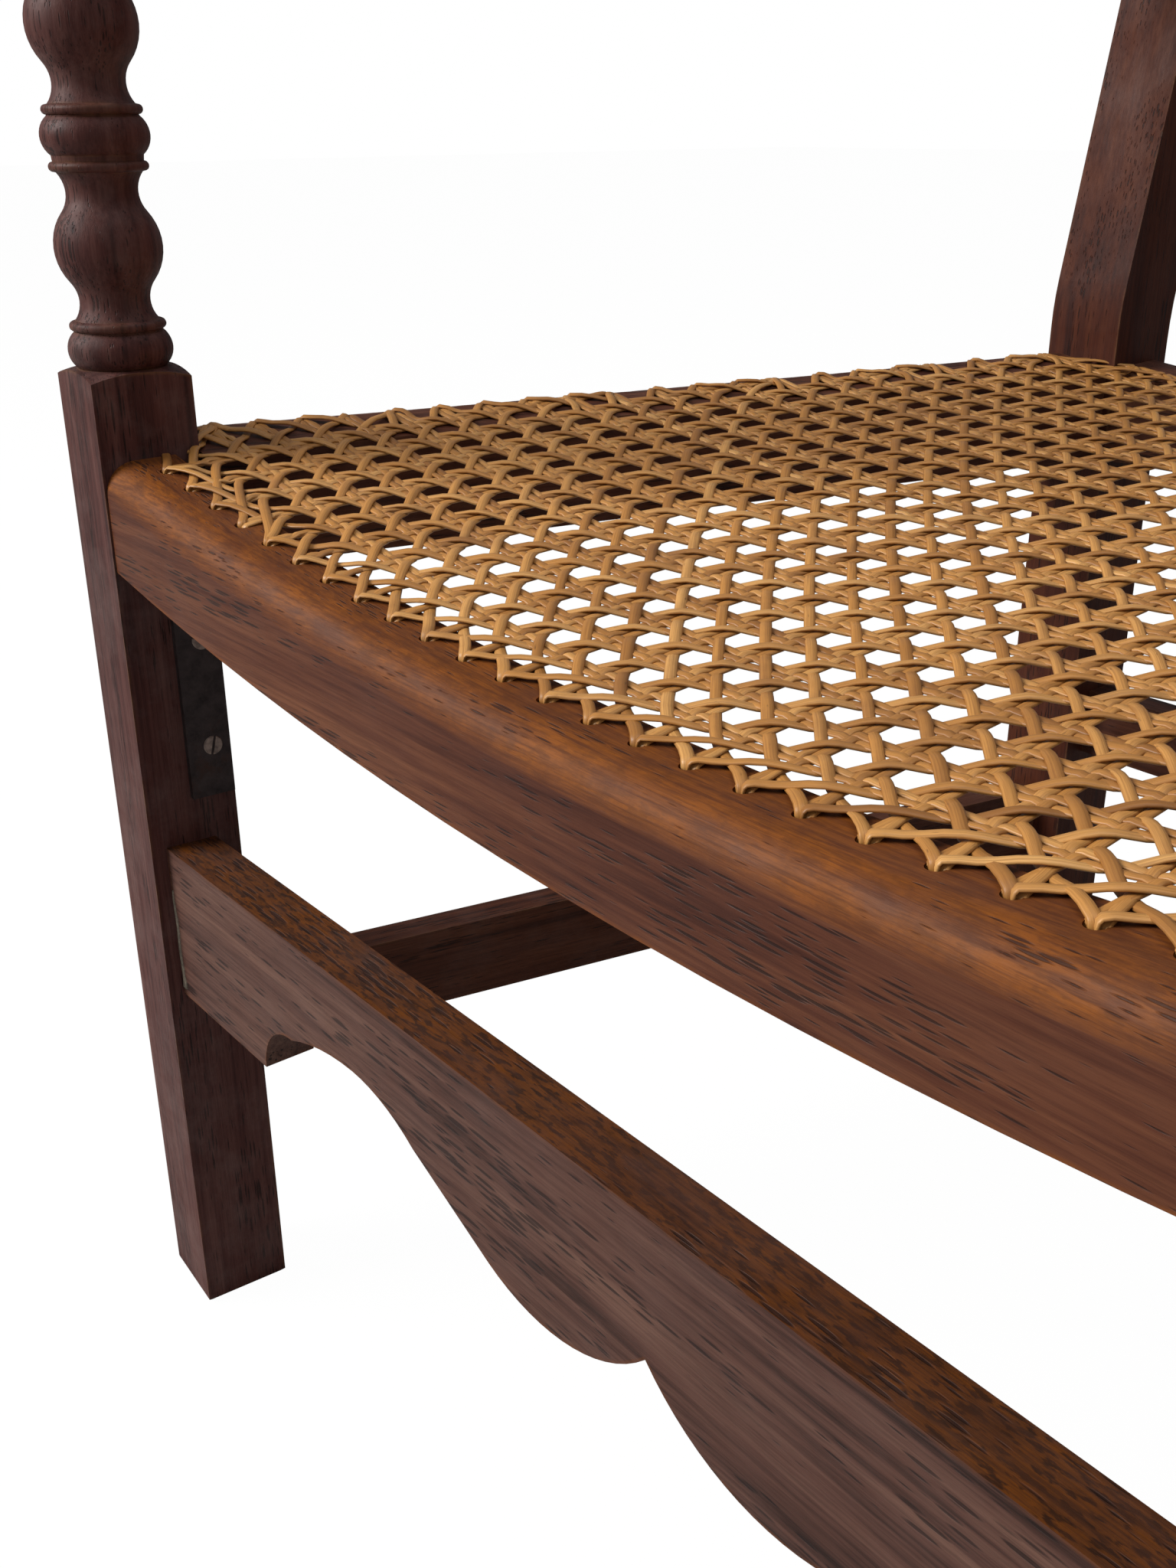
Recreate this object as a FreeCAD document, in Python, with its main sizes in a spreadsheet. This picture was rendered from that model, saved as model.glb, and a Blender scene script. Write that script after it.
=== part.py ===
"""Open armchair in dark oak: turned arm supports, dished cane seat, shaped front stretcher, caned back.

Millimetres, +Z up, the floor at Z = 0, the sitter faces -Y. The origin is under the middle of the chair.
Every joint is a tenon that is part of the rail or stretcher, and a mortise that it cuts in the post.
"""
import FreeCAD, Part
import math
import os
import Sketcher

Vector = FreeCAD.Vector

# Driving dimensions: name, size in millimetres or degrees, what it measures.
SIZES = [
    ("front_y", "-284.4", "front legs' middle, measured from the middle of the chair"),
    ("front_half", "318", "half the distance between the front legs' middles"),
    ("back_half", "214", "half the distance between the back legs' middles"),
    ("seat_run", "456", "front legs' middle to the back legs' front faces"),
    ("seat_height", "391", "top of the seat where it meets the front legs"),
    ("leg_side", "38", "side of the square front leg"),
    ("leg_turn", "4", "degrees that each front leg is turned towards its side rail"),
    ("foot_chamfer", "2", "worn edge round each foot"),
    ("block_top", "421.6", "top of the square part of the front leg"),
    ("shoulder_drop", "4", "how far the lathe rounded the block's corners down"),
    ("unit_pitch", "73", "one repeat of the turning, from ring to ring"),
    ("ring_half", "6.4", "half the height of a turned ring"),
    ("ring_radius", "19", "largest radius of the turning"),
    ("groove_radius", "16", "radius in the grooves beside a ring"),
    ("ogee_radius", "15", "radius where a neck's hollow turns into a bulb"),
    ("ogee_angle", "39", "degrees that the turning's outline leans there"),
    ("pin_radius", "9", "round tenon on top of the turning"),
    ("pin_length", "18", "length of that tenon"),
    ("back_wide", "39", "back leg across the chair"),
    ("back_deep", "44", "back leg from front to back"),
    ("bend_height", "418", "where the back leg starts to lean"),
    ("back_rake", "11.5", "degrees that the back leans"),
    ("stile_length", "590", "length of the leaning part of the back leg"),
    ("stile_taper", "8", "how much thinner the stile is at its top"),
    ("bend_radius", "110", "radius of the bend on the back leg's front"),
    ("rail_deep", "27.5", "front rail from front to back"),
    ("rail_high", "42", "height of the front rail"),
    ("rail_round", "12", "rounded upper front edge of the seat rails"),
    ("dip", "28.6", "how far the front rail dips in its middle"),
    ("dish_rise", "16.5", "how much the seat's middle rises from front to back"),
    ("hole_inset", "17.5", "cane holes behind the front rail's face"),
    ("rail_proud", "0.5", "front rail's face in front of the legs"),
    ("back_inset", "10", "cane holes behind the back rail's face"),
    ("hole_radius", "2.5", "radius of a drilled cane hole"),
    ("hole_pitch", "19", "spacing of the cane holes in the front rail and the back panel"),
    ("back_pitch", "17.2", "spacing of the cane holes in the back rail"),
    ("side_inset", "14", "cane holes in from a side rail's outer face"),
    ("side_first", "31.1", "first cane hole in a side rail, behind the front legs' middle"),
    ("side_pitch", "18.1", "spacing of the first two holes there"),
    ("side_growth", "0.26", "how much each spacing is wider than the one before it"),
    ("side_wide", "40", "width of a side rail"),
    ("side_bottom", "345", "underside of the side and back rails"),
    ("back_rail_deep", "34", "back rail from front to back"),
    ("rail_tenon", "26", "height of the front rail's tenons"),
    ("rail_tenon_drop", "36", "their underside below the seat at the legs"),
    ("stretcher_tenon", "30", "height of the front stretcher's tenons"),
    ("stretcher_tenon_drop", "38", "their underside below its top"),
    ("tenon_thick", "10", "thickness of the rails' tenons"),
    ("tenon_long", "17", "length of the front tenons"),
    ("tenon_short", "14", "length of the tenons that pass another one"),
    ("stretcher_thick", "21", "front stretcher from front to back"),
    ("stretcher_front", "14", "its face in front of the legs' middle"),
    ("stretcher_top", "232.5", "top of the front stretcher"),
    ("stretcher_end", "164.5", "its underside at the legs"),
    ("end_run", "72", "length of that straight underside from the leg's face"),
    ("arch_crown", "198", "highest point under the front stretcher"),
    ("arch_half", "158", "that point from the chair's middle"),
    ("lobe_radius", "68", "radius of the two lobes in the middle"),
    ("lobe_half", "50", "lowest point of a lobe from the chair's middle"),
    ("lobe_bottom", "161", "height of that point"),
    ("side_str_thick", "16", "thickness of the side and back stretchers"),
    ("side_str_top", "158.5", "top of the side stretchers"),
    ("side_str_high", "38.5", "height of the side stretchers"),
    ("back_str_top", "218", "top of the back stretcher"),
    ("back_str_high", "35", "height of the back stretcher"),
    ("arm_thick", "28", "thickness of the arm"),
    ("arm_front", "30", "half width of the arm's rounded front"),
    ("arm_reach", "8", "middle of that round end in front of the leg"),
    ("arm_back", "17", "half width of the arm at the stile"),
    ("arm_round", "7", "rounded upper edge of the arm"),
    ("panel_setback", "8", "back panel's face behind the stiles' face"),
    ("panel_thick", "20", "thickness of the back's rails and uprights"),
    ("low_rail_base", "150", "lower back rail's underside, along the stile from the bend"),
    ("low_rail_high", "45", "height of the lower back rail"),
    ("crest_base", "500", "crest rail's underside, along the stile from the bend"),
    ("crest_end", "562", "crest rail's top at the stiles"),
    ("crest_peak", "598", "crest rail's top in the middle"),
    ("upright_half", "122", "middle of an upright from the chair's middle"),
    ("upright_wide", "30", "width of an upright"),
    ("cane_thick", "2.4", "thickness of the woven cane"),
    ("cane_pitch", "28", "spacing of the gaps in the plain net"),
    ("cane_gap", "17", "width of a gap"),
    ("cane_edge", "5", "cane beyond its row of holes"),
    ("panel_holes", "7", "the panel's upright rows of holes outside its opening"),
    ("iron_thick", "3", "thickness of the iron bracket"),
    ("iron_wide", "18", "width of the iron bracket"),
    ("iron_drop", "97", "length of its upright arm"),
    ("iron_reach", "52", "length of its arm under the rail"),
    ("screw_head", "4", "radius of a screw's head"),
    ("screw_long", "16", "length of a screw"),
]

doc = FreeCAD.newDocument("armchair")
sheet = doc.addObject("Spreadsheet::Sheet", "Sizes")
for row, (alias, number, note) in enumerate(SIZES, start=1):
    sheet.set("A%d" % row, alias)
    sheet.set("B%d" % row, number)
    sheet.setAlias("B%d" % row, alias)
    sheet.set("C%d" % row, note)
doc.recompute()


class Dim:
    """A size with both its number and the formula that binds it to the sheet."""

    def __init__(self, value, text):
        self.value = value
        self.text = text

    def __add__(self, other):
        other = dim(other)
        return Dim(self.value + other.value, "(%s + %s)" % (self.text, other.text))

    def __sub__(self, other):
        other = dim(other)
        return Dim(self.value - other.value, "(%s - %s)" % (self.text, other.text))

    def __mul__(self, other):
        other = dim(other)
        return Dim(self.value * other.value, "(%s * %s)" % (self.text, other.text))

    def __truediv__(self, other):
        other = dim(other)
        return Dim(self.value / other.value, "(%s / %s)" % (self.text, other.text))

    def __neg__(self):
        return Dim(-self.value, "(0 - %s)" % self.text)

    def __radd__(self, other):
        return dim(other) + self

    def __rsub__(self, other):
        return dim(other) - self

    def __rmul__(self, other):
        return dim(other) * self


def dim(number):
    return number if isinstance(number, Dim) else Dim(float(number), "%.6f" % number)


def root(size):
    return Dim(math.sqrt(size.value), "sqrt(%s)" % size.text)


def sine(degrees):
    return Dim(math.sin(math.radians(degrees.value)), "sin(%s)" % degrees.text)


def cosine(degrees):
    return Dim(math.cos(math.radians(degrees.value)), "cos(%s)" % degrees.text)


def slope_angle(across, along):
    """Degrees whose tangent is across over along."""
    value = math.degrees(math.atan(across.value / along.value))
    return Dim(value, "(atan(%s / %s) / 1 deg)" % (across.text, along.text))


CELL = {alias: Dim(float(number), "Sizes." + alias) for alias, number, note in SIZES}


def cell(alias):
    return CELL[alias]


def bind(thing, **properties):
    for name, size in properties.items():
        thing.setExpression(name.replace("__", "."), dim(size).text)


def place(thing, x=0, y=0, z=0, axis=None, turn=0):
    """Put thing at x, y, z and turn it by degrees about an axis."""
    if axis is not None:
        spin = FreeCAD.Rotation(Vector(*axis), dim(turn).value)
        thing.Placement = FreeCAD.Placement(Vector(0, 0, 0), spin)
        bind(thing, Placement__Rotation__Angle=turn)
    bind(thing, Placement__Base__x=x, Placement__Base__y=y, Placement__Base__z=z)
    return thing


def draw(sketch, corners, arcs=None):
    """Close an outline through corners; arcs gives a radius, negative to bend the other way."""
    arcs = arcs or {}
    count = len(corners)
    points = [Vector(dim(x).value, dim(y).value, 0) for x, y in corners]
    ends = []
    for k in range(count):
        start, end = points[k], points[(k + 1) % count]
        if k not in arcs:
            index = sketch.addGeometry(Part.LineSegment(start, end))
            ends.append((index, 1, 2))
            continue
        radius = abs(dim(arcs[k]).value)
        side = 1 if dim(arcs[k]).value > 0 else -1
        chord = end - start
        normal = Vector(-chord.y, chord.x, 0).normalize()
        rise = math.sqrt(radius ** 2 - (chord.Length / 2) ** 2)
        centre = (start + end) * 0.5 + normal * rise * side
        angle = [math.atan2(p.y - centre.y, p.x - centre.x) for p in (start, end)]
        first, last = angle if side > 0 else angle[::-1]
        circle = Part.Circle(centre, Vector(0, 0, 1), radius)
        index = sketch.addGeometry(Part.ArcOfCircle(circle, first, last))
        ends.append((index, 1, 2) if side > 0 else (index, 2, 1))
        rule = sketch.addConstraint(Sketcher.Constraint("Radius", index, radius))
        size = dim(arcs[k])
        sketch.setExpression("Constraints[%d]" % rule, size.text if side > 0 else (-size).text)
    for k in range(count):
        index, first, last = ends[k]
        following = ends[(k + 1) % count]
        sketch.addConstraint(Sketcher.Constraint("Coincident", index, last, following[0], following[1]))
        for kind, size, number in (("DistanceX", corners[k][0], points[k].x),
                                   ("DistanceY", corners[k][1], points[k].y)):
            rule = sketch.addConstraint(Sketcher.Constraint(kind, -1, 1, index, first, number))
            sketch.setExpression("Constraints[%d]" % rule, dim(size).text)
    return sketch


def body_sketch(body, role, name):
    sketch = body.newObject("Sketcher::SketchObject", name)
    plane = [f for f in body.Origin.OriginFeatures if f.Role == role][0]
    sketch.AttachmentSupport = (plane, [""])
    sketch.MapMode = "FlatFace"
    return sketch


def new_body(name):
    return doc.addObject("PartDesign::Body", name)


def pad(body, sketch, name, length, reverse=False):
    feature = body.newObject("PartDesign::Pad", name)
    feature.Profile = sketch
    feature.Reversed = reverse
    feature.Length = dim(length).value
    bind(feature, Length=length)
    doc.recompute()
    return feature


def edges_where(shape, test):
    return ["Edge%d" % k for k, edge in enumerate(shape.Edges, start=1) if test(edge)]


def soften(body, name, kind, test, size):
    """Round or chamfer the edges of the body's tip that pass the test."""
    base = body.Tip
    feature = body.newObject("PartDesign::" + kind, name)
    feature.Base = (base, edges_where(base.Shape, test))
    key = "Radius" if kind == "Fillet" else "Size"
    setattr(feature, key, dim(size).value)
    bind(feature, **{key: size})
    doc.recompute()
    return feature


def box(name, length, width, height, x=0, y=0, z=0, axis=None, turn=0):
    block = doc.addObject("Part::Box", name)
    bind(block, Length=length, Width=width, Height=height)
    return place(block, x, y, z, axis, turn)


def cylinder(name, radius, height):
    rod = doc.addObject("Part::Cylinder", name)
    bind(rod, Radius=radius, Height=height)
    return rod


def cut(name, base, tools):
    """Take every tool away from the base."""
    for k, tool in enumerate(tools, start=1):
        step = doc.addObject("Part::Cut", name if k == len(tools) else "%s_step%d" % (name, k))
        step.Base = base
        step.Tool = tool
        base = step
    doc.recompute()
    return base


def fuse(name, pieces):
    joined = doc.addObject("Part::MultiFuse", name)
    joined.Shapes = pieces
    joined.Refine = True
    doc.recompute()
    return joined


def mirror(source, name):
    twin = doc.addObject("Part::Mirroring", name)
    twin.Source = source
    twin.Base = Vector(0, 0, 0)
    twin.Normal = Vector(1, 0, 0)
    doc.recompute()
    return twin


NODES = []

# How far a seat rail's blank stands above the seat before it is dished
BLANK_OVER = 12

# Counts of drilled cane holes: to each side of the middle, and along a side rail or the back panel
FRONT_HOLES = 15
BACK_HOLES = 11
SIDE_HOLES = 21
PANEL_HALF_HOLES = 5
PANEL_ROWS = 16


def node(thing, label):
    thing.Label = label
    NODES.append(thing)
    return thing


def at_height(edge, z):
    return all(abs(v.Point.z - z) < 0.01 for v in edge.Vertexes)


FRONT_Y = cell("front_y")
HALF_LEG = cell("leg_side") / 2
FRONT_HALF = cell("front_half")
BACK_HALF = cell("back_half")
BACK_Y = FRONT_Y + cell("seat_run")
HALF_BACK = cell("back_wide") / 2
INNER_FRONT = FRONT_HALF - HALF_LEG
INNER_BACK = BACK_HALF - HALF_BACK
SPLAY = slope_angle(FRONT_HALF - BACK_HALF, cell("seat_run") + cell("back_deep") / 2)

# The seat is dished like a shallow trough: a wide cylinder that rises towards the back.
RAIL_FACE = FRONT_Y - HALF_LEG - cell("rail_proud")
HOLES_FRONT = RAIL_FACE + cell("hole_inset")
HOLES_BACK = BACK_Y + cell("back_inset")
DISH_LOW = cell("seat_height") - cell("dip")
DISH_RADIUS = (INNER_FRONT * INNER_FRONT + cell("dip") * cell("dip")) / (2 * cell("dip"))
DISH_TILT = slope_angle(cell("dish_rise"), HOLES_BACK - HOLES_FRONT)


def dish(name, shrink):
    """The air above the seat, as a lying cylinder whose lowest line follows the cane."""
    length = 1400
    air = cylinder(name, DISH_RADIUS - shrink, length)
    start = -length / 2
    lift = DISH_LOW + (start - HOLES_FRONT) * cell("dish_rise") / (HOLES_BACK - HOLES_FRONT)
    place(air, 0, start, lift + DISH_RADIUS, axis=(1, 0, 0), turn=DISH_TILT - 90)
    air.Angle = 360
    return air


def front_post():
    """Square block, shoulders rounded on the lathe, and three rings with two bulbs above them."""
    body = new_body("front_post")
    half = HALF_LEG
    plan = draw(body_sketch(body, "XY_Plane", "leg_plan"),
                [(-half, -half), (half, -half), (half, half), (-half, half)])
    pad(body, plan, "leg_block", cell("block_top"))
    soften(body, "leg_foot", "Chamfer", lambda e: at_height(e, 0), cell("foot_chamfer"))

    top = cell("block_top")
    corner = half * 1.5
    shoulder = draw(body_sketch(body, "XZ_Plane", "shoulder_profile"),
                    [(cell("groove_radius"), top), (cell("groove_radius"), top + 2),
                     (corner, top + 2), (corner, top - cell("shoulder_drop"))],
                    {3: cell("leg_side")})
    groove = body.newObject("PartDesign::Groove", "leg_shoulder")
    groove.Profile = shoulder
    groove.ReferenceAxis = (shoulder, ["V_Axis"])
    groove.Angle = 360
    doc.recompute()

    outline, arcs = turning_outline()
    profile = draw(body_sketch(body, "XZ_Plane", "turning_profile"), outline, arcs)
    turned = body.newObject("PartDesign::Revolution", "leg_turning")
    turned.Profile = profile
    turned.ReferenceAxis = (profile, ["V_Axis"])
    turned.Angle = 360
    doc.recompute()
    return place(body, -FRONT_HALF, FRONT_Y, 0, axis=(0, 0, 1), turn=-cell("leg_turn"))


def turning_outline():
    """Outline of the turning: three rings, each two of them with beads, necks and a bulb between."""
    ring, groove, ogee = cell("ring_half"), cell("groove_radius"), cell("ogee_radius")
    lean = sine(cell("ogee_angle"))
    bead_gap, bead_high, bead_bulge = 0.4, 3.4, 1.6
    neck_high = 13.4
    outline = [(0, cell("block_top") - 5), (groove, cell("block_top") - 5)]
    arcs = {}

    def arc_to(radius_here, z_here, bend):
        arcs[len(outline)] = bend
        outline.append((radius_here, z_here))

    def bulge(chord, rise):
        """Radius of an arc of this chord that stands out by rise."""
        return (chord * chord / 4 + rise * rise) / (2 * rise)

    ring_bend = bulge(2 * ring, cell("ring_radius") - groove)
    bead_bend = bulge(dim(bead_high), dim(bead_bulge))
    for k in range(3):
        z = cell("block_top") + ring + k * cell("unit_pitch")
        arc_to(groove, z - ring, ring_bend)
        outline.append((groove, z + ring))
        if k == 2:
            break
        up = z + ring + bead_gap
        down = z + cell("unit_pitch") - ring - 5 * bead_gap
        arc_to(groove - 0.2, up, bead_bend)
        outline.append((groove - 0.2, up + bead_high))
        neck_start = up + bead_high + 0.2
        neck_end = down - bead_high - 0.2
        arc_to(ogee, neck_start, -(dim(neck_high) / (2 * lean)))
        arc_to(ogee, neck_start + neck_high, (neck_end - neck_start - 2 * neck_high) / (2 * lean))
        arc_to(ogee, neck_end - neck_high, -(dim(neck_high) / (2 * lean)))
        outline.append((ogee, neck_end))
        arc_to(groove - 0.2, down - bead_high, bead_bend)
        outline.append((groove - 0.2, down))
    top = arm_underside()
    pin = cell("pin_radius")
    pin_top = top + cell("pin_length")
    outline += [(groove - 1, top), (pin, top), (pin, pin_top), (0, pin_top)]
    return outline, arcs


def arm_underside():
    return cell("block_top") + 2 * cell("ring_half") + 2 * cell("unit_pitch") + 0.6


def leg_space(name, half_wide):
    """The front leg's block, made as wide as the face that something butts against."""
    block = box(name, 2 * half_wide, cell("leg_side"), cell("block_top"))
    turn = cell("leg_turn")
    x = -FRONT_HALF - half_wide * cosine(turn) - HALF_LEG * sine(turn)
    y = FRONT_Y + half_wide * sine(turn) - HALF_LEG * cosine(turn)
    return place(block, x, y, 0, axis=(0, 0, 1), turn=-turn)


def back_post():
    """Back leg and stile in one piece, upright to the seat and leaning above it."""
    body = new_body("back_post")
    rake = cell("back_rake")
    bend, deep = cell("bend_height"), cell("back_deep")
    rise = cell("stile_length")
    thin = deep - cell("stile_taper")
    top_y, top_z = BACK_Y + rise * sine(rake), bend + rise * cosine(rake)
    back_bend = bend - deep * sine(rake / 2) / cosine(rake / 2)
    side = draw(body_sketch(body, "YZ_Plane", "back_post_side"),
                [(BACK_Y, 0), (BACK_Y + deep, 0), (BACK_Y + deep, back_bend),
                 (top_y + thin * cosine(rake), top_z - thin * sine(rake)), (top_y, top_z), (BACK_Y, bend)])
    bind(side, AttachmentOffset__Base__z=-BACK_HALF - HALF_BACK)
    pad(body, side, "back_post_block", cell("back_wide"))
    soften(body, "back_bend_back", "Fillet", lambda e: at_height(e, back_bend.value),
           cell("bend_radius") + cell("back_deep"))
    soften(body, "back_bend_front", "Fillet", lambda e: at_height(e, bend.value), cell("bend_radius"))
    soften(body, "back_foot", "Chamfer", lambda e: at_height(e, 0), cell("foot_chamfer"))
    peak = top_z.value - thin.value * math.sin(math.radians(rake.value)) - 0.1
    soften(body, "back_post_top", "Fillet", lambda e: all(v.Point.z > peak for v in e.Vertexes), 5)
    return body


def board(name, corners, arcs, y, thick):
    """Outline in the front view, sawn from a board of this thickness with its face at y."""
    sketch = draw(doc.addObject("Sketcher::SketchObject", name + "_outline"), corners, arcs)
    place(sketch, 0, y, 0, axis=(1, 0, 0), turn=90)
    plank = doc.addObject("Part::Extrusion", name)
    plank.Base = sketch
    plank.DirMode = "Custom"
    plank.Dir = Vector(0, 1, 0)
    plank.Solid = True
    plank.LengthFwd = dim(thick).value
    bind(plank, LengthFwd=thick)
    doc.recompute()
    return plank


def round_edges(name, base, test, radius):
    """Rounded edges on a Part solid."""
    rounded = doc.addObject("Part::Fillet", name)
    rounded.Base = base
    size = dim(radius).value
    rounded.Edges = [(int(edge[4:]), size, size) for edge in edges_where(base.Shape, test)]
    doc.recompute()
    return rounded


def dish_height(x):
    """Height of the seat's cylinder at the front holes, this far from the middle."""
    return DISH_LOW + DISH_RADIUS - root(DISH_RADIUS * DISH_RADIUS - x * x)


def drill(name, spots, direction, length):
    """Round holes for the cane, all in one shape that is cut from the wood."""
    rods = [Part.makeCylinder(cell("hole_radius").value, length, spot, direction) for spot in spots]
    holes = doc.addObject("Part::Feature", name)
    holes.Shape = Part.makeCompound(rods)
    return holes


def seat_holes(name, places):
    """Upright holes through a seat rail at these x and y."""
    base = cell("side_bottom").value - cell("dip").value
    spots = [Vector(x, y, base) for x, y in places]
    return drill(name, spots, Vector(0, 0, 1), 120)


def row_of_holes(name, count, pitch, y):
    """Holes across the chair, one in the middle and count to each side of it."""
    return seat_holes(name, [(k * pitch.value, y.value) for k in range(-count, count + 1)])


def side_line(outward):
    """Gives x on the left side rail, this far outward of its middle, for a distance behind the front legs."""
    splay = math.radians(SPLAY.value)
    start = FRONT_HALF.value + outward / math.cos(splay)
    return lambda behind: behind * math.tan(splay) - start


def side_holes():
    """A row down the left side rail, near its outer edge."""
    line = side_line((cell("side_wide") / 2 - cell("side_inset")).value)
    places = []
    for k in range(SIDE_HOLES):
        behind = cell("side_first").value + cell("side_pitch").value * k + cell("side_growth").value * k * k / 2
        places.append((line(behind), FRONT_Y.value + behind))
    return seat_holes("side_rail_holes", places)


def end_tenons(name, high, y, z):
    """A tenon at each end of a board between the front legs."""
    reach = INNER_FRONT + cell("tenon_long")
    root_depth, margin = 6, 15
    thick = cell("tenon_thick")
    through = box(name + "_blank", 2 * reach, thick, high, -reach, y, z)
    between = box(name + "_gap", 2 * (INNER_FRONT - root_depth), thick + 2 * margin, high + 2 * margin,
                  -INNER_FRONT + root_depth, y - margin, z - margin)
    return cut(name + "s", through, [between])


def front_seat_rail(air, left_leg, right_leg):
    """Dipped board with a rounded front edge; the cane holes follow its inner edge."""
    half = INNER_FRONT + 1.5
    low = dish_height(half) - cell("rail_high")
    high = dish_height(half) + BLANK_OVER
    plank = board("front_rail_board", [(-half, low), (half, low), (half, high), (-half, high)],
                  {0: DISH_RADIUS}, RAIL_FACE, cell("rail_deep"))
    shaped = cut("front_rail_dished", plank, [air])
    face = RAIL_FACE.value
    middle = DISH_LOW.value
    rounded = round_edges("front_rail_rounded", shaped,
                          lambda e: e.Length > 400 and abs(e.BoundBox.YMin - face) < 0.1
                          and abs(e.BoundBox.YMax - face) < 0.1 and e.BoundBox.ZMin > middle - 5,
                          cell("rail_round"))
    trimmed = cut("front_rail_trimmed", rounded, [left_leg, right_leg])
    tenon_low = cell("seat_height") - cell("rail_tenon_drop")
    ends = end_tenons("front_rail_tenon", cell("rail_tenon"), FRONT_Y - 9, tenon_low)
    whole = fuse("front_rail_whole", [trimmed, ends])
    holes = row_of_holes("front_rail_holes", FRONT_HOLES, cell("hole_pitch"), HOLES_FRONT)
    return cut("front_seat_rail", whole, [holes])


def along_side(name, wide, high, start, length, z):
    """A bar that runs from the front leg's middle towards the back leg."""
    turn = SPLAY
    shift = wide / 2
    x = -FRONT_HALF - shift * cosine(turn) + start * sine(turn)
    y = FRONT_Y + shift * sine(turn) + start * cosine(turn)
    return box(name, wide, length, high, x, y, z, axis=(0, 0, 1), turn=-turn)


def back_leg_space(name):
    """Everything behind the back leg's front face, beside the leg too."""
    return box(name, cell("back_wide") + 60, 200, cell("bend_height") - 15,
               -BACK_HALF - HALF_BACK - 30, BACK_Y, 0)


def side_bar(name, wide, high, z, tenon_high, spaces, air=None, rounded=0):
    """Side rail or side stretcher, trimmed to both legs, with a tenon at each end; a rail is dished by air."""
    run = (cell("seat_run") + cell("back_deep") / 2) / cosine(SPLAY)
    bar = along_side(name + "_bar", wide, high, dim(0), run, z)
    if rounded:
        dished = cut(name + "_dished", bar, [air])
        top = z.value + high.value - cell("dip").value
        outer = -FRONT_HALF.value - wide.value / 2 + 1
        bar = round_edges(name + "_rounded", dished,
                          lambda e: e.Length > 300 and e.BoundBox.ZMin > top and e.BoundBox.XMin < outer, rounded)
    shaped = cut(name + "_trim", bar, spaces)
    thick, root_depth = cell("tenon_thick"), 4
    base = z + (high - tenon_high) / 2
    front = along_side(name + "_front_tenon", thick, tenon_high, HALF_LEG - cell("tenon_short") + 1,
                       cell("tenon_short") + root_depth, base)
    back_start = (cell("seat_run") - root_depth) / cosine(SPLAY)
    back = along_side(name + "_back_tenon", thick, tenon_high, back_start, cell("tenon_long") + root_depth, base)
    return fuse(name, [shaped, front, back])


def back_seat_rail(air, side_rails):
    top = cell("seat_height") + 4
    bar = box("back_rail_bar", 2 * INNER_BACK, cell("back_rail_deep"), top - cell("side_bottom"),
              -INNER_BACK, BACK_Y, cell("side_bottom"))
    shaped = cut("back_rail_dished", bar, [air] + side_rails)
    reach = INNER_BACK + cell("tenon_short")
    tenon = box("back_rail_tenon", 2 * reach, cell("tenon_thick"), 24,
                -reach, BACK_Y + 20, cell("side_bottom") + 6)
    whole = fuse("back_rail_whole", [shaped, tenon])
    holes = row_of_holes("back_rail_holes", BACK_HOLES, cell("back_pitch"), HOLES_BACK)
    return cut("back_seat_rail", whole, [holes])


def stretcher_outline():
    """Straight top; below it the ends step up into an arch that runs down to two lobes and a cusp."""
    end, crown, lobe = cell("stretcher_end"), cell("arch_crown"), cell("lobe_radius")
    step_x = INNER_FRONT - cell("end_run")
    cove = 24
    arch_x = cell("arch_half")
    lobe_z = cell("lobe_bottom") + lobe
    cusp_z = lobe_z - root(lobe * lobe - cell("lobe_half") * cell("lobe_half"))
    lean = dim(23.5)
    leave_x = cell("lobe_half") + lobe * sine(lean)
    leave_z = lobe_z - lobe * cosine(lean)
    join_x, join_z = arch_x - 38, crown - 11.5
    right = [(0, cusp_z), (leave_x, leave_z), (join_x, join_z), (arch_x, crown),
             (step_x - cove, end + cove), (step_x, end), (INNER_FRONT + 2, end)]
    left = [(-x if isinstance(x, Dim) else -x, z) for x, z in reversed(right[1:])]
    bends = {0: lobe, 2: -dim(69), 3: -dim(117), 4: -dim(cove)}
    half, top = INNER_FRONT + 2, cell("stretcher_top")
    corners = right + [(half, top), (-half, top)] + left
    count = len(corners)
    arcs = dict(bends)
    for k, bend in bends.items():
        arcs[count - 1 - k] = bend
    return corners, arcs


def front_stretcher(left_leg, right_leg):
    corners, arcs = stretcher_outline()
    face = FRONT_Y - cell("stretcher_front")
    plank = board("front_stretcher_board", corners, arcs, face, cell("stretcher_thick"))
    trimmed = cut("front_stretcher_trimmed", plank, [left_leg, right_leg])
    low = cell("stretcher_top") - cell("stretcher_tenon_drop")
    ends = end_tenons("front_stretcher_tenon", cell("stretcher_tenon"), face + 6, low)
    return fuse("front_stretcher", [trimmed, ends])


def back_stretcher():
    bar = box("back_stretcher_bar", 2 * INNER_BACK, cell("side_str_thick"), cell("back_str_high"),
              -INNER_BACK, BACK_Y + 14, cell("back_str_top") - cell("back_str_high"))
    reach = INNER_BACK + cell("tenon_long")
    tenon = box("back_stretcher_tenon", 2 * reach, 8, 25,
                -reach, BACK_Y + 18, cell("back_str_top") - cell("back_str_high") + 5)
    return fuse("back_stretcher", [bar, tenon])


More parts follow.
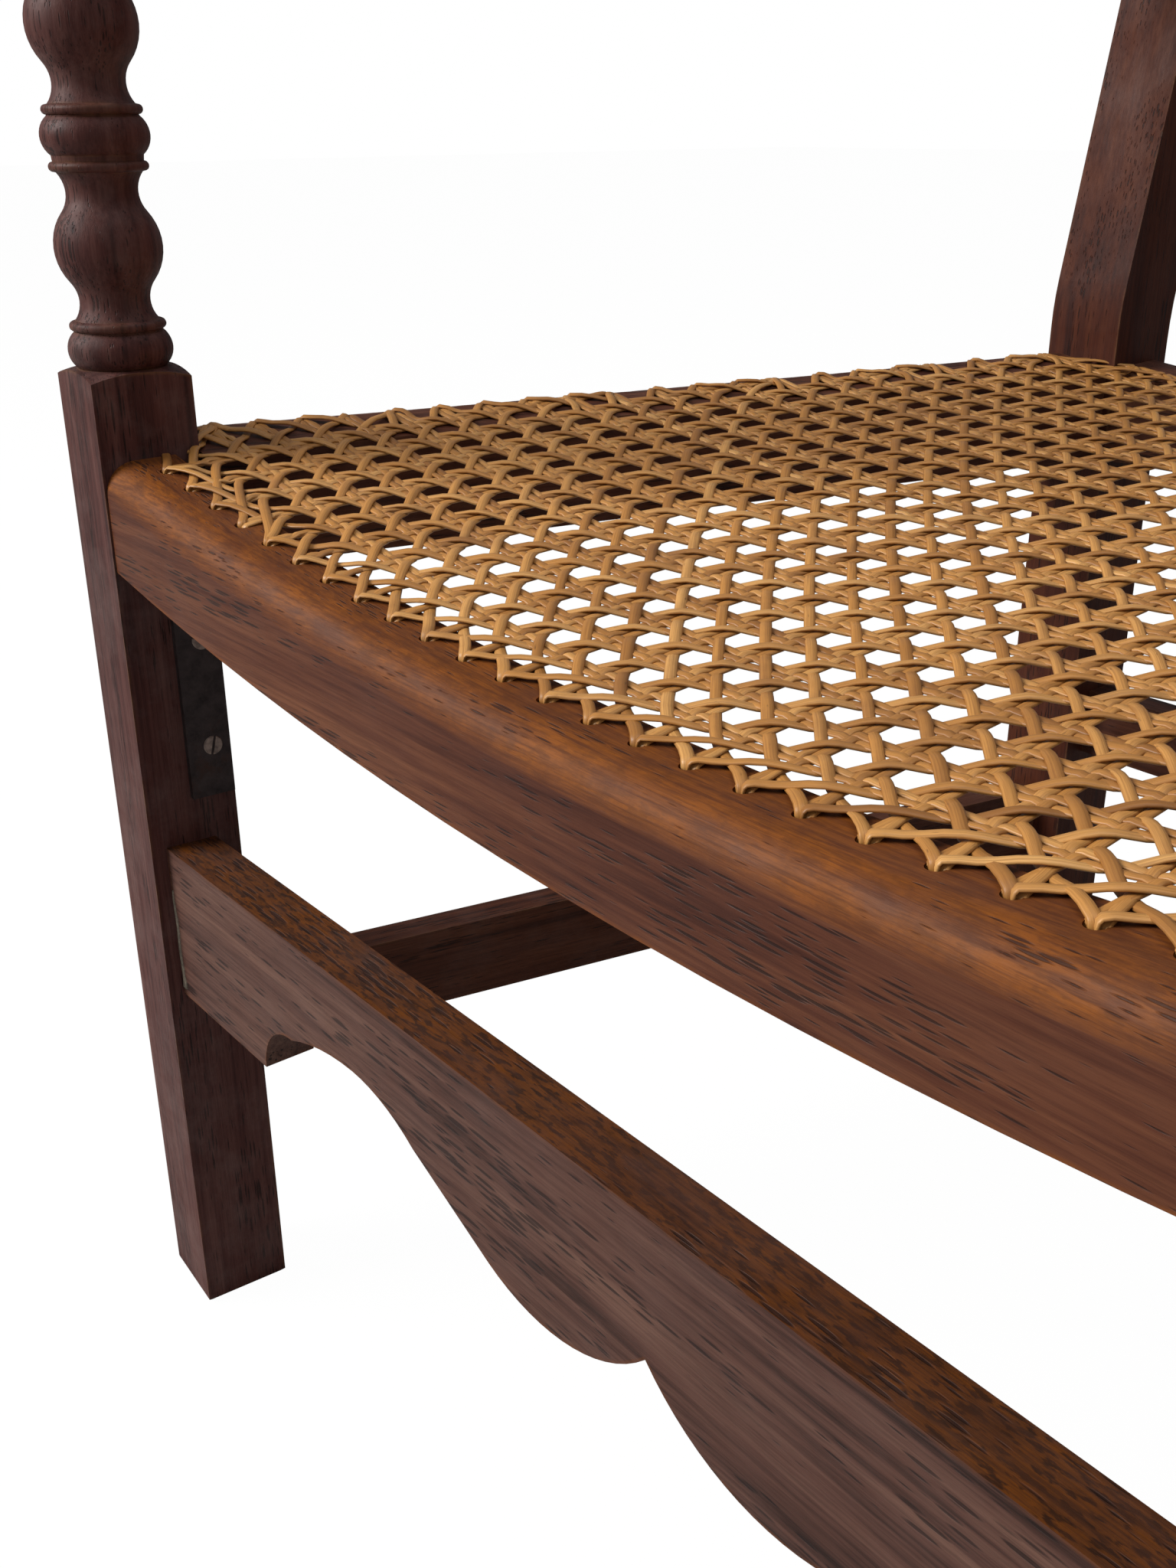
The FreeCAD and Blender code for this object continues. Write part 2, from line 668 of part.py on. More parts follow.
def arm_left(stile_space, post):
    """Flat arm, round over its support, that narrows and swings in to the stile."""
    body = new_body("arm_body")
    front, narrow = cell("arm_front"), cell("arm_back")
    base = arm_underside()
    mid = FRONT_Y - cell("arm_reach")
    nose = front * 0.72
    rear = BACK_Y + 120
    waist = FRONT_Y + 90
    plan = draw(body_sketch(body, "XY_Plane", "arm_plan"),
                [(-FRONT_HALF - front, mid), (-FRONT_HALF, mid - nose - 8), (-FRONT_HALF + front, mid),
                 (-FRONT_HALF + narrow + 6, waist), (-BACK_HALF + narrow, rear),
                 (-BACK_HALF - narrow, rear), (-FRONT_HALF - narrow + 2, waist)],
                {0: front, 1: front, 2: -dim(160), 3: dim(900), 5: -dim(900), 6: -dim(160)})
    bind(plan, AttachmentOffset__Base__z=base)
    pad(body, plan, "arm_board", cell("arm_thick"))
    top = (base + cell("arm_thick")).value
    soften(body, "arm_top_round", "Fillet", lambda e: at_height(e, top), cell("arm_round"))
    soften(body, "arm_low_round", "Fillet", lambda e: at_height(e, base.value), 3)
    trimmed = cut("arm_trimmed", body, [stile_space])
    rake = cell("back_rake")
    lean = (base + cell("arm_thick") / 2 - cell("bend_height")) * sine(rake) / cosine(rake)
    tenon = box("arm_tenon", 16, 34, 14, -BACK_HALF - 8, BACK_Y + lean - 16, base + 7)
    whole = fuse("arm_whole", [trimmed, tenon])
    return cut("arm_left", whole, [post])


def in_back_frame(thing):
    """Back pieces are drawn upright and then lean with the stiles about the bend."""
    return place(thing, 0, BACK_Y, cell("bend_height"), axis=(1, 0, 0), turn=-cell("back_rake"))


def stile_space(name):
    """The leaning stile's room, to trim the arm where it butts against it."""
    room = box(name, cell("back_wide") + 30, 200, 700)
    return place(room, -BACK_HALF - HALF_BACK - 15, BACK_Y, cell("bend_height"),
                 axis=(1, 0, 0), turn=-cell("back_rake"))


def back_board(name, corners, arcs, tenon):
    """A board of the back panel with its tenons: tenon is x, low, length, height."""
    body = new_body(name + "_body")
    face = cell("panel_setback")
    plan = draw(body_sketch(body, "XZ_Plane", name + "_outline"), corners, arcs)
    bind(plan, AttachmentOffset__Base__z=-face)
    pad(body, plan, name + "_board", cell("panel_thick"), reverse=True)
    x, low, length, high = tenon
    tongue = draw(body_sketch(body, "XZ_Plane", name + "_tenon"),
                  [(x, low), (x + length, low), (x + length, low + high), (x, low + high)])
    bind(tongue, AttachmentOffset__Base__z=-face - 6)
    pad(body, tongue, name + "_tongue", 8, reverse=True)
    return in_back_frame(body)


def crest_rail():
    """Straight underside for the cane; the top repeats the stretcher's arch and meets in a point."""
    half, base = INNER_BACK, cell("crest_base")
    end, peak = cell("crest_end"), cell("crest_peak")
    right = [(0, peak), (62, end + 22), (104, end + 16), (half - 28, end + 10), (half - 16, end), (half, end)]
    left = [(-x, z) for x, z in reversed(right[1:])]
    corners = [(-half, base), (half, base)] + right[::-1] + left[::-1]
    bends = [dim(12), dim(260), -dim(48), dim(110)]
    arcs = {3 + k: bend for k, bend in enumerate(bends + bends[::-1])}
    reach = half + cell("tenon_long")
    return back_board("crest_rail", corners, arcs, (-reach, base + 12, 2 * reach, 38))


def lower_back_rail():
    half, base = INNER_BACK, cell("low_rail_base")
    top = base + cell("low_rail_high")
    corners = [(-half, base), (half, base), (half, top), (-half, top)]
    reach = half + cell("tenon_long")
    return back_board("lower_back_rail", corners, None, (-reach, base + 9, 2 * reach, 27))


def upright():
    low = cell("low_rail_base") + cell("low_rail_high")
    high = cell("crest_base")
    wide, shoulder = cell("upright_wide"), 5
    foot, head = 14, 12
    x = -cell("upright_half") - wide / 2
    corners = [(x, low), (x + wide, low), (x + wide, high), (x, high)]
    tongue = (x + shoulder, low - foot, wide - 2 * shoulder, high - low + foot + head)
    return back_board("upright_left", corners, None, tongue)


def net_face(outline, pitch_x, pitch_y, gap, margin):
    """Flat face with rows of eight-sided gaps, all of them inside the outline by the margin."""
    edge = Part.makePolygon([Vector(x, y, 0) for x, y in outline + outline[:1]])
    whole = Part.Face(edge)
    low_x, high_x = min(p[0] for p in outline), max(p[0] for p in outline)
    low_y, high_y = min(p[1] for p in outline), max(p[1] for p in outline)
    columns = int((high_x - low_x) / pitch_x / 2) + 1
    rows = int((high_y - low_y) / pitch_y)
    start = low_y + (high_y - low_y - (rows - 1) * pitch_y) / 2
    half, cut_corner = gap / 2, gap * 0.29
    corners = [(half, cut_corner - half), (half, half - cut_corner), (half - cut_corner, half),
               (cut_corner - half, half), (-half, half - cut_corner), (-half, cut_corner - half),
               (cut_corner - half, -half), (half - cut_corner, -half)]
    wires = []
    for row in range(rows):
        for column in range(-columns, columns):
            x, y = (column + 0.5) * pitch_x, start + row * pitch_y
            spots = [Vector(x + dx, y + dy, 0) for dx, dy in corners]
            clear = all(whole.isInside(p, 0.01, True) and edge.distToShape(Part.Vertex(p))[0] > margin
                        for p in spots)
            if clear:
                wires.append(Part.makePolygon(spots + spots[:1]))
    print("gaps in this net:", len(wires))
    return Part.makeFace([edge] + wires, "Part::FaceMakerBullseye")


def cane_seat(air):
    """Woven cane as one holed sheet that lies on the dished rails."""
    edge = cell("cane_edge").value
    front, back = HOLES_FRONT.value - edge, HOLES_BACK.value + edge
    leg_back, stile_front = HALF_LEG.value + 2, cell("seat_run").value - 1
    line = side_line((cell("side_wide") / 2 - cell("side_inset")).value + edge)

    def beside(behind):
        """The cane's edge on the side rail, just outside its row of holes."""
        return -line(behind), FRONT_Y.value + behind

    leg_face = INNER_FRONT.value - 4
    stile_face = INNER_BACK.value - 0.5
    half = [(leg_face, front), (leg_face, FRONT_Y.value + leg_back), beside(leg_back),
            beside(stile_front), (stile_face, FRONT_Y.value + stile_front), (stile_face, back)]
    outline = [(-x, y) for x, y in half] + [(x, y) for x, y in reversed(half)]
    face = net_face(outline, cell("cane_pitch").value, cell("cane_pitch").value, cell("cane_gap").value, 5)
    prism = doc.addObject("Part::Feature", "cane_seat_gaps")
    prism.Shape = face.extrude(Vector(0, 0, 120))
    prism.Placement = FreeCAD.Placement(Vector(0, 0, cell("seat_height").value - 60), FreeCAD.Rotation())
    inner = dish("dish_cane_top", cell("cane_thick"))
    sheet_shell = cut("cane_seat_shell", air, [inner])
    woven = doc.addObject("Part::Common", "cane_seat")
    woven.Base = prism
    woven.Tool = sheet_shell
    doc.recompute()
    return woven


def panel_holes():
    """Holes through the back panel's rails and its left upright, square to the leaning panel."""
    pitch = cell("hole_pitch").value
    middle = (cell("low_rail_base") + cell("low_rail_high") + cell("crest_base")).value / 2
    reach = (PANEL_ROWS + 1) * pitch / 2
    beside = -(cell("upright_half") - cell("upright_wide") / 2 + cell("panel_holes")).value
    columns = range(-PANEL_HALF_HOLES, PANEL_HALF_HOLES + 1)
    rails = [(k * pitch, middle + side * reach) for k in columns for side in (-1, 1)]
    upright_row = [(beside, middle - reach + (k + 1) * pitch) for k in range(PANEL_ROWS)]

    def leaning(name, places):
        spots = [Vector(x, 0, z) for x, z in places]
        return in_back_frame(drill(name, spots, Vector(0, 1, 0), 60))

    return leaning("panel_rail_holes", rails), leaning("panel_upright_holes", upright_row)


def cane_back():
    """The back's cane, a flat holed sheet on the face of its four-sided frame."""
    edge = cell("cane_edge").value + 5
    half = cell("upright_half").value - cell("upright_wide").value / 2 + edge
    low = cell("low_rail_base").value + cell("low_rail_high").value - edge
    high = cell("crest_base").value + edge
    face = net_face([(-half, low), (half, low), (half, high), (-half, high)],
                    cell("cane_pitch").value, cell("cane_pitch").value, cell("cane_gap").value, 7)
    panel = face.extrude(Vector(0, 0, cell("cane_thick").value))
    upright_turn = FreeCAD.Rotation(Vector(1, 0, 0), 90 - cell("back_rake").value)
    lean = FreeCAD.Rotation(Vector(1, 0, 0), -cell("back_rake").value)
    bend = Vector(0, BACK_Y.value, cell("bend_height").value)
    woven = doc.addObject("Part::Feature", "cane_back")
    woven.Shape = panel
    seat = bend + lean.multVec(Vector(0, cell("panel_setback").value, 0))
    woven.Placement = FreeCAD.Placement(seat, upright_turn)
    return woven


def iron_bracket(rail):
    """Black iron angle: one arm down the leg's inner face, the other under the front rail."""
    turn = cell("leg_turn")
    body = new_body("bracket_body")
    thick, wide = cell("iron_thick"), cell("iron_wide")
    top = cell("seat_height") - cell("rail_high") + 4
    low = cell("seat_height") - cell("rail_high") - cell("iron_drop")
    reach, fall = cell("iron_reach"), cell("iron_reach") * 0.17
    plan = draw(body_sketch(body, "XZ_Plane", "bracket_side"),
                [(0, low), (thick, low), (thick, top - 8), (reach, top - 8 - fall),
                 (reach, top - fall + 6), (0, top)])
    pad(body, plan, "bracket_plate", wide, reverse=True)
    inset = cell("leg_side") - wide - 1
    x = -FRONT_HALF + HALF_LEG * cosine(turn) + (inset - HALF_LEG) * sine(turn)
    y = FRONT_Y - HALF_LEG * sine(turn) + (inset - HALF_LEG) * cosine(turn)
    place(body, x, y, 0, axis=(0, 0, 1), turn=-turn)
    return cut("bracket_left", body, [rail])


def screw(name, x, y, z, axis, turn):
    """Countersunk head and plain shank, its head's face at x, y, z."""
    body = new_body(name)
    head, shank = cell("screw_head"), cell("screw_head") * 0.45
    long = cell("screw_long")
    profile = draw(body_sketch(body, "XZ_Plane", name + "_profile"),
                   [(0, 0), (head, 0), (head, -0.8), (shank, -3), (shank, -long), (0, -long)])
    turned = body.newObject("PartDesign::Revolution", name + "_turned")
    turned.Profile = profile
    turned.ReferenceAxis = (profile, ["V_Axis"])
    turned.Angle = 360
    doc.recompute()
    return place(body, x, y, z, axis, turn)


def bracket_screws():
    """Two screws through each bracket into the front leg."""
    thick = cell("iron_thick")
    x = -INNER_FRONT + thick + 0.1
    y = FRONT_Y + HALF_LEG - cell("iron_wide") / 2 - 1
    low = cell("seat_height") - cell("rail_high") - cell("iron_drop")
    left = [screw("screw_low", x, y, low + 21.5, (0, 1, 0), 90),
            screw("screw_mid", x, y, low + 66, (0, 1, 0), 90)]
    group = doc.addObject("Part::Compound", "bracket_screws_left")
    group.Links = left
    doc.recompute()
    pair = doc.addObject("Part::Compound", "bracket_screws")
    pair.Links = [group, mirror(group, "bracket_screws_right")]
    doc.recompute()
    return pair


def build():
    air = dish("dish_air", 0)
    left_leg = leg_space("left_leg_space", HALF_LEG)
    left_leg_back = leg_space("left_leg_back_face", HALF_LEG + 30)
    right_leg = mirror(left_leg, "right_leg_space")
    left_back = back_leg_space("left_back_space")
    right_back = mirror(left_back, "right_back_space")
    doc.recompute()

    front_rail = node(front_seat_rail(air, left_leg, right_leg), "front_seat_rail")
    side_high = cell("seat_height") + BLANK_OVER - cell("side_bottom")
    side_wood = side_bar("side_rail_whole", cell("side_wide"), side_high, cell("side_bottom"), 24,
                         [left_leg_back, left_back], air, cell("rail_round"))
    side_rail = node(cut("side_rail_drilled", side_wood, [side_holes()]), "side_seat_rail_left")
    other_rail = node(mirror(side_rail, "side_seat_rail_right"), "side_seat_rail_right")
    back_rail = node(back_seat_rail(air, [side_rail, other_rail]), "back_seat_rail")

    low_front = node(front_stretcher(left_leg, right_leg), "front_stretcher")
    low_side = node(side_bar("side_stretcher_left", cell("side_str_thick"), cell("side_str_high"),
                             cell("side_str_top") - cell("side_str_high"), 26, [left_leg_back, left_back]),
                    "side_stretcher_left")
    node(mirror(low_side, "side_stretcher_right"), "side_stretcher_right")
    low_back = node(back_stretcher(), "back_stretcher")

    rail_holes, upright_holes = panel_holes()
    uprights = [node(cut("upright_drilled", upright(), [upright_holes]), "back_upright_left")]
    uprights.append(node(mirror(uprights[0], "back_upright_right_twin"), "back_upright_right"))
    away = uprights + [rail_holes]
    crest = node(cut("crest_mortised", crest_rail(), away), "crest_rail")
    low_rail = node(cut("lower_back_rail_mortised", lower_back_rail(), away), "lower_back_rail")

    screws = node(bracket_screws(), "bracket_screws")
    bracket = node(cut("bracket_drilled", iron_bracket(front_rail), [screws]), "corner_bracket_left")
    node(mirror(bracket, "corner_bracket_right"), "corner_bracket_right")

    post = front_post()
    arm = node(arm_left(stile_space("stile_room"), post), "arm_left")
    node(mirror(arm, "arm_right"), "arm_right")
    held = [front_rail, side_rail, low_front, low_side, screws]
    front_leg = node(cut("front_leg_left", post, held), "front_leg_left")
    node(mirror(front_leg, "front_leg_right"), "front_leg_right")
    held = [side_rail, back_rail, low_side, low_back, crest, low_rail, arm]
    back_leg = node(cut("back_leg_left", back_post(), held), "back_leg_left")
    node(mirror(back_leg, "back_leg_right"), "back_leg_right")

    node(cane_seat(air), "cane_seat")
    node(cane_back(), "cane_back")


def check():
    doc.recompute()
    for thing in doc.Objects:
        if "Invalid" in thing.State or "Error" in thing.State:
            raise RuntimeError("%s did not build: %s" % (thing.Label, thing.State))
    for thing in NODES:
        if thing.Shape.isNull() or not thing.Shape.isValid():
            raise RuntimeError("%s has no valid solid" % thing.Label)
        solids = len(thing.Shape.Solids)
        print("%-24s solids %2d  volume %10.0f" % (thing.Label, solids, thing.Shape.Volume))


def write():
    os.makedirs("parts", exist_ok=True)
    for thing in NODES:
        thing.Shape.exportStep("parts/%s.step" % thing.Label)
    whole = FreeCAD.BoundBox()
    for thing in NODES:
        whole.add(thing.Shape.BoundBox)
    print("whole: x %.1f %.1f  y %.1f %.1f  z %.1f %.1f"
          % (whole.XMin, whole.XMax, whole.YMin, whole.YMax, whole.ZMin, whole.ZMax))


build()
check()
write()
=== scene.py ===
"""Open armchair in dark waxed oak with a woven cane seat and back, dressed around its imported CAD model.

Metres, +Z up, the sitter faces -Y. Lengths that were measured on the chair are written in millimetres
times MM. Seat places are given as x across the chair and y behind the middle of the front legs.
"""

import math

import bpy
import numpy as np
from mathutils import Matrix, Vector


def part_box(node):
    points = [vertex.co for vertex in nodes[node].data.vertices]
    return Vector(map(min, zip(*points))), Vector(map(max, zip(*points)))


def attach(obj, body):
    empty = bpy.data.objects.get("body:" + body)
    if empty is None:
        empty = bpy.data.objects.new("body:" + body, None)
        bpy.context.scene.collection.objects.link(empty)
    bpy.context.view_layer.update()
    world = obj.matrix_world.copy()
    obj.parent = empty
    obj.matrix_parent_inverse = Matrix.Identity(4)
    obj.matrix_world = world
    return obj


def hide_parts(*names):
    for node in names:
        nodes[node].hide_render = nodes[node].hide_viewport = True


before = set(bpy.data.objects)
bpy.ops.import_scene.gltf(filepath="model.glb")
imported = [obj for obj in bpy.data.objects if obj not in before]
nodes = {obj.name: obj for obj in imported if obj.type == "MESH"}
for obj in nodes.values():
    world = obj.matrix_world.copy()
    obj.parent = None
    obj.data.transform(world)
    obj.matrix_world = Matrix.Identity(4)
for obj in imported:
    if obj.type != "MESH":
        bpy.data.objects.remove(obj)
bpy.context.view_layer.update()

MM = 0.001

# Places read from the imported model
leg_low, leg_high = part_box("front_leg_left")
post_low, post_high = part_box("back_leg_left")
FRONT_HALF = -(leg_low.x + leg_high.x) / 2
FRONT_Y = (leg_low.y + leg_high.y) / 2
BACK_HALF = -(post_low.x + post_high.x) / 2
BACK_Y = post_low.y
SEAT_RUN = BACK_Y - FRONT_Y

# Square front legs, turned a little towards the side rails, with an iron bracket on the inner face
LEG_HALF = 19 * MM
LEG_TURN = math.radians(4)
BRACKET_THICK = 3.1 * MM

# The dished seat: a wide cylinder that rises towards the back, with the rails' wood just below it
SEAT_HEIGHT = 391 * MM
DIP = 28.6 * MM
DISH_RISE = 16.5 * MM
INNER_HALF = FRONT_HALF - LEG_HALF
DISH_RADIUS = (INNER_HALF ** 2 + DIP ** 2) / (2 * DIP)
WOOD_DROP = 0.98 * MM
HOLES_FRONT = -2 * MM
HOLES_BACK = SEAT_RUN + 10 * MM
SPLAY = math.atan((FRONT_HALF - BACK_HALF) / (SEAT_RUN + 22 * MM))
SIDE_LINE_OUT = 6 * MM / math.cos(SPLAY)
RAIL_HIGH = 42 * MM
SIDE_BOTTOM = 345 * MM

# Drilled cane holes
HOLE_PITCH = 19 * MM
BACK_PITCH = 17.2 * MM
FRONT_HOLES = 15
BACK_HOLES = 11
SIDE_HOLES = 21
SIDE_FIRST = 31.1 * MM
SIDE_PITCH = 18.1 * MM
SIDE_GROWTH = 0.26 * MM

# The back panel leans with the stiles
BEND_HEIGHT = 418 * MM
RAKE = math.radians(11.5)
PANEL_SETBACK = 8 * MM
PANEL_THICK = 20 * MM
PANEL_MIDDLE = 347.5 * MM
PANEL_HALF = 114 * MM
PANEL_ROWS = 16
PANEL_COLUMNS = 5

# One strand of cane: its width, and its section in widths across and up
STRAND_WIDE = 3.5 * MM
SECTION = [(-0.5, -0.02), (-0.38, 0.12), (0.0, 0.17), (0.38, 0.12), (0.5, -0.02),
           (0.36, -0.13), (-0.36, -0.13)]

# The weave: a pair's strands part by PAIR_HALF of the pitch and cross the other pairs with NODE_RISE.
# Both sets of diagonals rise over one set of pairs and dip under the other.
PAIR_HALF = 0.092
NODE_RISE = 0.45 * MM
DIAGONAL_RISE = 1.1 * MM
FIRST_MEAN = 0.1 * MM
FIRST_SHIFT = 0.57
SECOND_MEAN = 0.35 * MM
SECOND_SHIFT = 0.5
WANDER = 0.012

# Height above the wood where a strand of each set reaches its hole, and of the weave between the rails
COLUMN_REST = 0.5 * MM
ROW_REST = 0.6 * MM
FIRST_REST = 1.2 * MM
SECOND_REST = 1.8 * MM
WEAVE_LEVEL = 0.75 * MM

# A strand that is shorter, or meets fewer lattice points between the rails, is left out
SHORTEST_RUN = 31.2 * MM
FEWEST_POINTS = 6

# How far from its hole a strand bends towards it, settles to its height there and stops waving,
# how far a pair spreads there, and how it rolls over the rim and goes down
BEND_RUN = 26 * MM
SETTLE_RUN = 20 * MM
WAVE_RUN = 14 * MM
END_SPREAD = 1.35 * MM
TUCK = 2.0 * MM
DIVE = 6 * MM

# How much strands differ: twist in degrees, width as a share, tone between 0 and 1, and where along
# its pattern, in metres, each one starts
TWIST_SPREAD = 5.0
WIDTH_SPREAD = 0.05
TONE_SPREAD = 0.2
PATTERN_RUN = 30

# Bracket screws: the box that cuts a head's slot, how far out its middle is, and each screw's turn
SLOT_BOX = (1.8 * MM, 1.1 * MM, 12 * MM)
SLOT_OUT = 0.2 * MM
SCREW_SPINS = (-0.25, 1.15)
SCREW_SIDES = 28

# Old filler on the front stretcher's face, beside the left leg
FILLER_LOW = 168 * MM
FILLER_HIGH = 214 * MM
FILLER_GAP = 0.6 * MM
STRETCHER_FACE = FRONT_Y - 14 * MM

random = np.random.default_rng(11)


def linear(red, green, blue):
    """A colour written as it looks on a screen, 0 to 255, in the shader's own linear values."""
    def channel(value):
        value /= 255
        return value / 12.92 if value <= 0.04045 else ((value + 0.055) / 1.055) ** 2.4
    return channel(red), channel(green), channel(blue), 1.0


def smooth(t):
    t = np.clip(t, 0.0, 1.0)
    return t * t * (3 - 2 * t)


class Shader:
    """A material under construction, with short names for the nodes that it uses."""

    def __init__(self, name):
        self.material = bpy.data.materials.new(name)
        self.material.use_nodes = True
        self.tree = self.material.node_tree
        self.tree.nodes.clear()
        self.output = self.tree.nodes.new("ShaderNodeOutputMaterial")

    def add(self, kind, inputs=None, **settings):
        made = self.tree.nodes.new("ShaderNode" + kind)
        for name, value in settings.items():
            setattr(made, name, value)
        for key, value in (inputs or {}).items():
            self.feed(made.inputs[key], value)
        return made

    def feed(self, socket, value):
        if isinstance(value, bpy.types.NodeSocket):
            self.tree.links.new(value, socket)
        else:
            socket.default_value = value

    def place(self, stretch=(1, 1, 1), shift=(0, 0, 0), turn=(0, 0, 0)):
        """Object coordinates, turned first, then squeezed and shifted."""
        coords = self.add("TexCoord").outputs["Object"]
        turned = self.add("Mapping", {"Vector": coords, "Rotation": turn}).outputs["Vector"]
        return self.add("Mapping", {"Vector": turned, "Scale": stretch, "Location": shift}).outputs["Vector"]

    def noise(self, vector, detail=3.0, rough=0.55, warp=0.0):
        made = self.add("TexNoise", {"Vector": vector, "Scale": 1.0, "Detail": detail,
                                     "Roughness": rough, "Distortion": warp})
        return made.outputs["Fac"]

    def maths(self, operation, first, second=0.0):
        made = self.add("Math", {0: first, 1: second}, operation=operation)
        return made.outputs[0]

    def weigh(self, first, share, second):
        """That share of the first value and the rest of the second."""
        rest = self.maths("MULTIPLY", second, 1 - share)
        return self.maths("ADD", self.maths("MULTIPLY", first, share), rest)

    def dot(self, first, second):
        return self.add("VectorMath", {0: first, 1: second}, operation="DOT_PRODUCT").outputs["Value"]

    def span(self, value, low, high, out_low=0.0, out_high=1.0):
        """Value between low and high, spread evenly from out_low to out_high."""
        made = self.add("MapRange", {"Value": value, "From Min": low, "From Max": high,
                                     "To Min": out_low, "To Max": out_high})
        return made.outputs["Result"]

    def mix(self, amount, first, second):
        """The first colour, or the second where amount is 1."""
        made = self.add("Mix", data_type="RGBA")
        self.feed(made.inputs["Factor"], amount)
        before, after = [s for s in made.inputs if s.type == "RGBA"]
        self.feed(before, first)
        self.feed(after, second)
        return [s for s in made.outputs if s.type == "RGBA"][0]

    def ramp(self, value, stops):
        made = self.add("ValToRGB", {"Fac": value})
        elements = made.color_ramp.elements
        while len(elements) < len(stops):
            elements.new(0.5)
        for element, (at, colour) in zip(elements, stops):
            element.position = at
            element.color = colour
        return made.outputs["Color"]

    def bump(self, height, strength, distance, normal=None):
        inputs = {"Height": height, "Strength": strength, "Distance": distance}
        if normal is not None:
            inputs["Normal"] = normal
        return self.add("Bump", inputs).outputs["Normal"]

    def finish(self, colour, roughness, normal, **fixed):
        surface = self.add("BsdfPrincipled", {"Base Color": colour, "Roughness": roughness, "Normal": normal})
        for name, value in fixed.items():
            surface.inputs[name.replace("_", " ")].default_value = value
        self.tree.links.new(surface.outputs["BSDF"], self.output.inputs["Surface"])
        return self.material


# The turn that brings each way of grain onto a texture's first axis
GRAIN_TURN = {"x": (0, 0, 0), "y": (0, 0, math.pi / 2), "z": (0, math.pi / 2, 0)}


def oak(name, grain, seed, tones, worn=(104, 70, 46), wear_way=None, dust_and_sheen=0.12, turn=None,
        pore=(64, 900), flecked=0.25):
    """Dark stained oak: long figure, fine fibres, short dark pores, worn edges and a waxed sheen.

    tones are its dark, middle and light colours. worn is the colour under the stain where hands and
    feet have rubbed it off, along all edges and on faces that look the way of wear_way, with short dark
    flecks as strong as flecked. pore counts the pores in a metre along the grain and across it.
    """
    s = Shader(name)
    dark, middle, light = [linear(*tone) for tone in tones]
    rubbed = linear(*worn)
    shift = (seed * 0.37, seed * 0.71, seed * 0.53)

    def grained(along, across):
        """Coordinates with that many features in a metre along the grain and across it."""
        return s.place((along, across, across), shift, turn or GRAIN_TURN[grain])

    figure = s.noise(grained(3, 40), 5.0, 0.6, 1.2)
    streaks = s.noise(grained(8, 260), 4.0, 0.65, 0.3)
    fibre = s.noise(grained(30, 900), 4.0, 0.75)
    blotch = s.noise(grained(14, 30), 4.0, 0.65, 0.6)
    rub = s.noise(s.place((60, 60, 60), shift), 5.0, 0.65)

    colour = s.ramp(s.weigh(figure, 0.5, streaks), [(0.36, dark), (0.48, middle), (0.66, light)])
    colour = s.mix(s.span(fibre, 0.45, 0.65, 0.0, 0.4), colour, dark)

    # Short dark vessels, thick in some places and thin in others
    cells = s.add("TexVoronoi", {"Vector": grained(*pore), "Scale": 1.0, "Randomness": 1.0})
    crowd = s.span(s.noise(grained(7, 70), 3.0), 0.42, 0.64, 0.08, 0.46)
    pores = s.span(s.maths("SUBTRACT", crowd, cells.outputs["Distance"]), 0.0, 0.12)
    colour = s.mix(s.maths("MULTIPLY", pores, 0.72), colour, linear(22, 12, 11))

    # Edges rubbed bare of stain, found where a rounded normal leaves the face's own
    facing = s.add("NewGeometry").outputs["Normal"]
    rounded = s.add("Bevel", {"Radius": 2.2 * MM}, samples=4).outputs["Normal"]
    edges = s.maths("MULTIPLY", s.span(s.dot(rounded, facing), 0.995, 0.93), s.span(rub, 0.40, 0.62))
    colour = s.mix(s.maths("MULTIPLY", edges, 0.75), colour, rubbed)

    if wear_way is not None:
        open_face = s.span(s.dot(facing, Vector(wear_way).normalized()), 0.6, 0.86)
        patch = s.span(s.weigh(blotch, 0.6, streaks), 0.38, 0.58, 0.3, 1.0)
        bare = s.maths("MULTIPLY", open_face, patch)
        bare = s.maths("MULTIPLY", bare, s.maths("SUBTRACT", 1.0, s.maths("MULTIPLY", pores, 0.8)))
        smoky = s.mix(0.7, rubbed, dark)
        flecks = s.noise(grained(130, 480), 3.0, 0.6)
        mottled = s.mix(s.span(rub, 0.44, 0.62, 0.0, 0.55), rubbed, smoky)
        mottled = s.mix(s.span(flecks, 0.50, 0.58, 0.0, flecked), mottled, linear(30, 17, 11))
        colour = s.mix(bare, colour, s.mix(s.span(fibre, 0.44, 0.62, 0.0, 0.8), mottled, smoky))

    # A thin grey bloom, partly dust and old wax and partly painted sheen: the greyish glint of the window on
    # the waxed wood
    dust_and_sheen_bloom = s.span(s.noise(s.place((25, 40, 40), shift), 5.0, 0.7), 0.45, 0.75, 0.0, dust_and_sheen)
    colour = s.mix(dust_and_sheen_bloom, colour, linear(122, 104, 100))

    roughness = s.span(s.weigh(blotch, 0.7, fibre), 0.35, 0.65, 0.46, 0.68)
    normal = s.bump(s.maths("SUBTRACT", s.maths("MULTIPLY", fibre, 0.6), pores), 0.7, 0.3 * MM)
    normal = s.bump(blotch, 0.2, 0.8 * MM, normal)
    return s.finish(colour, roughness, normal, Specular_IOR_Level=0.16)


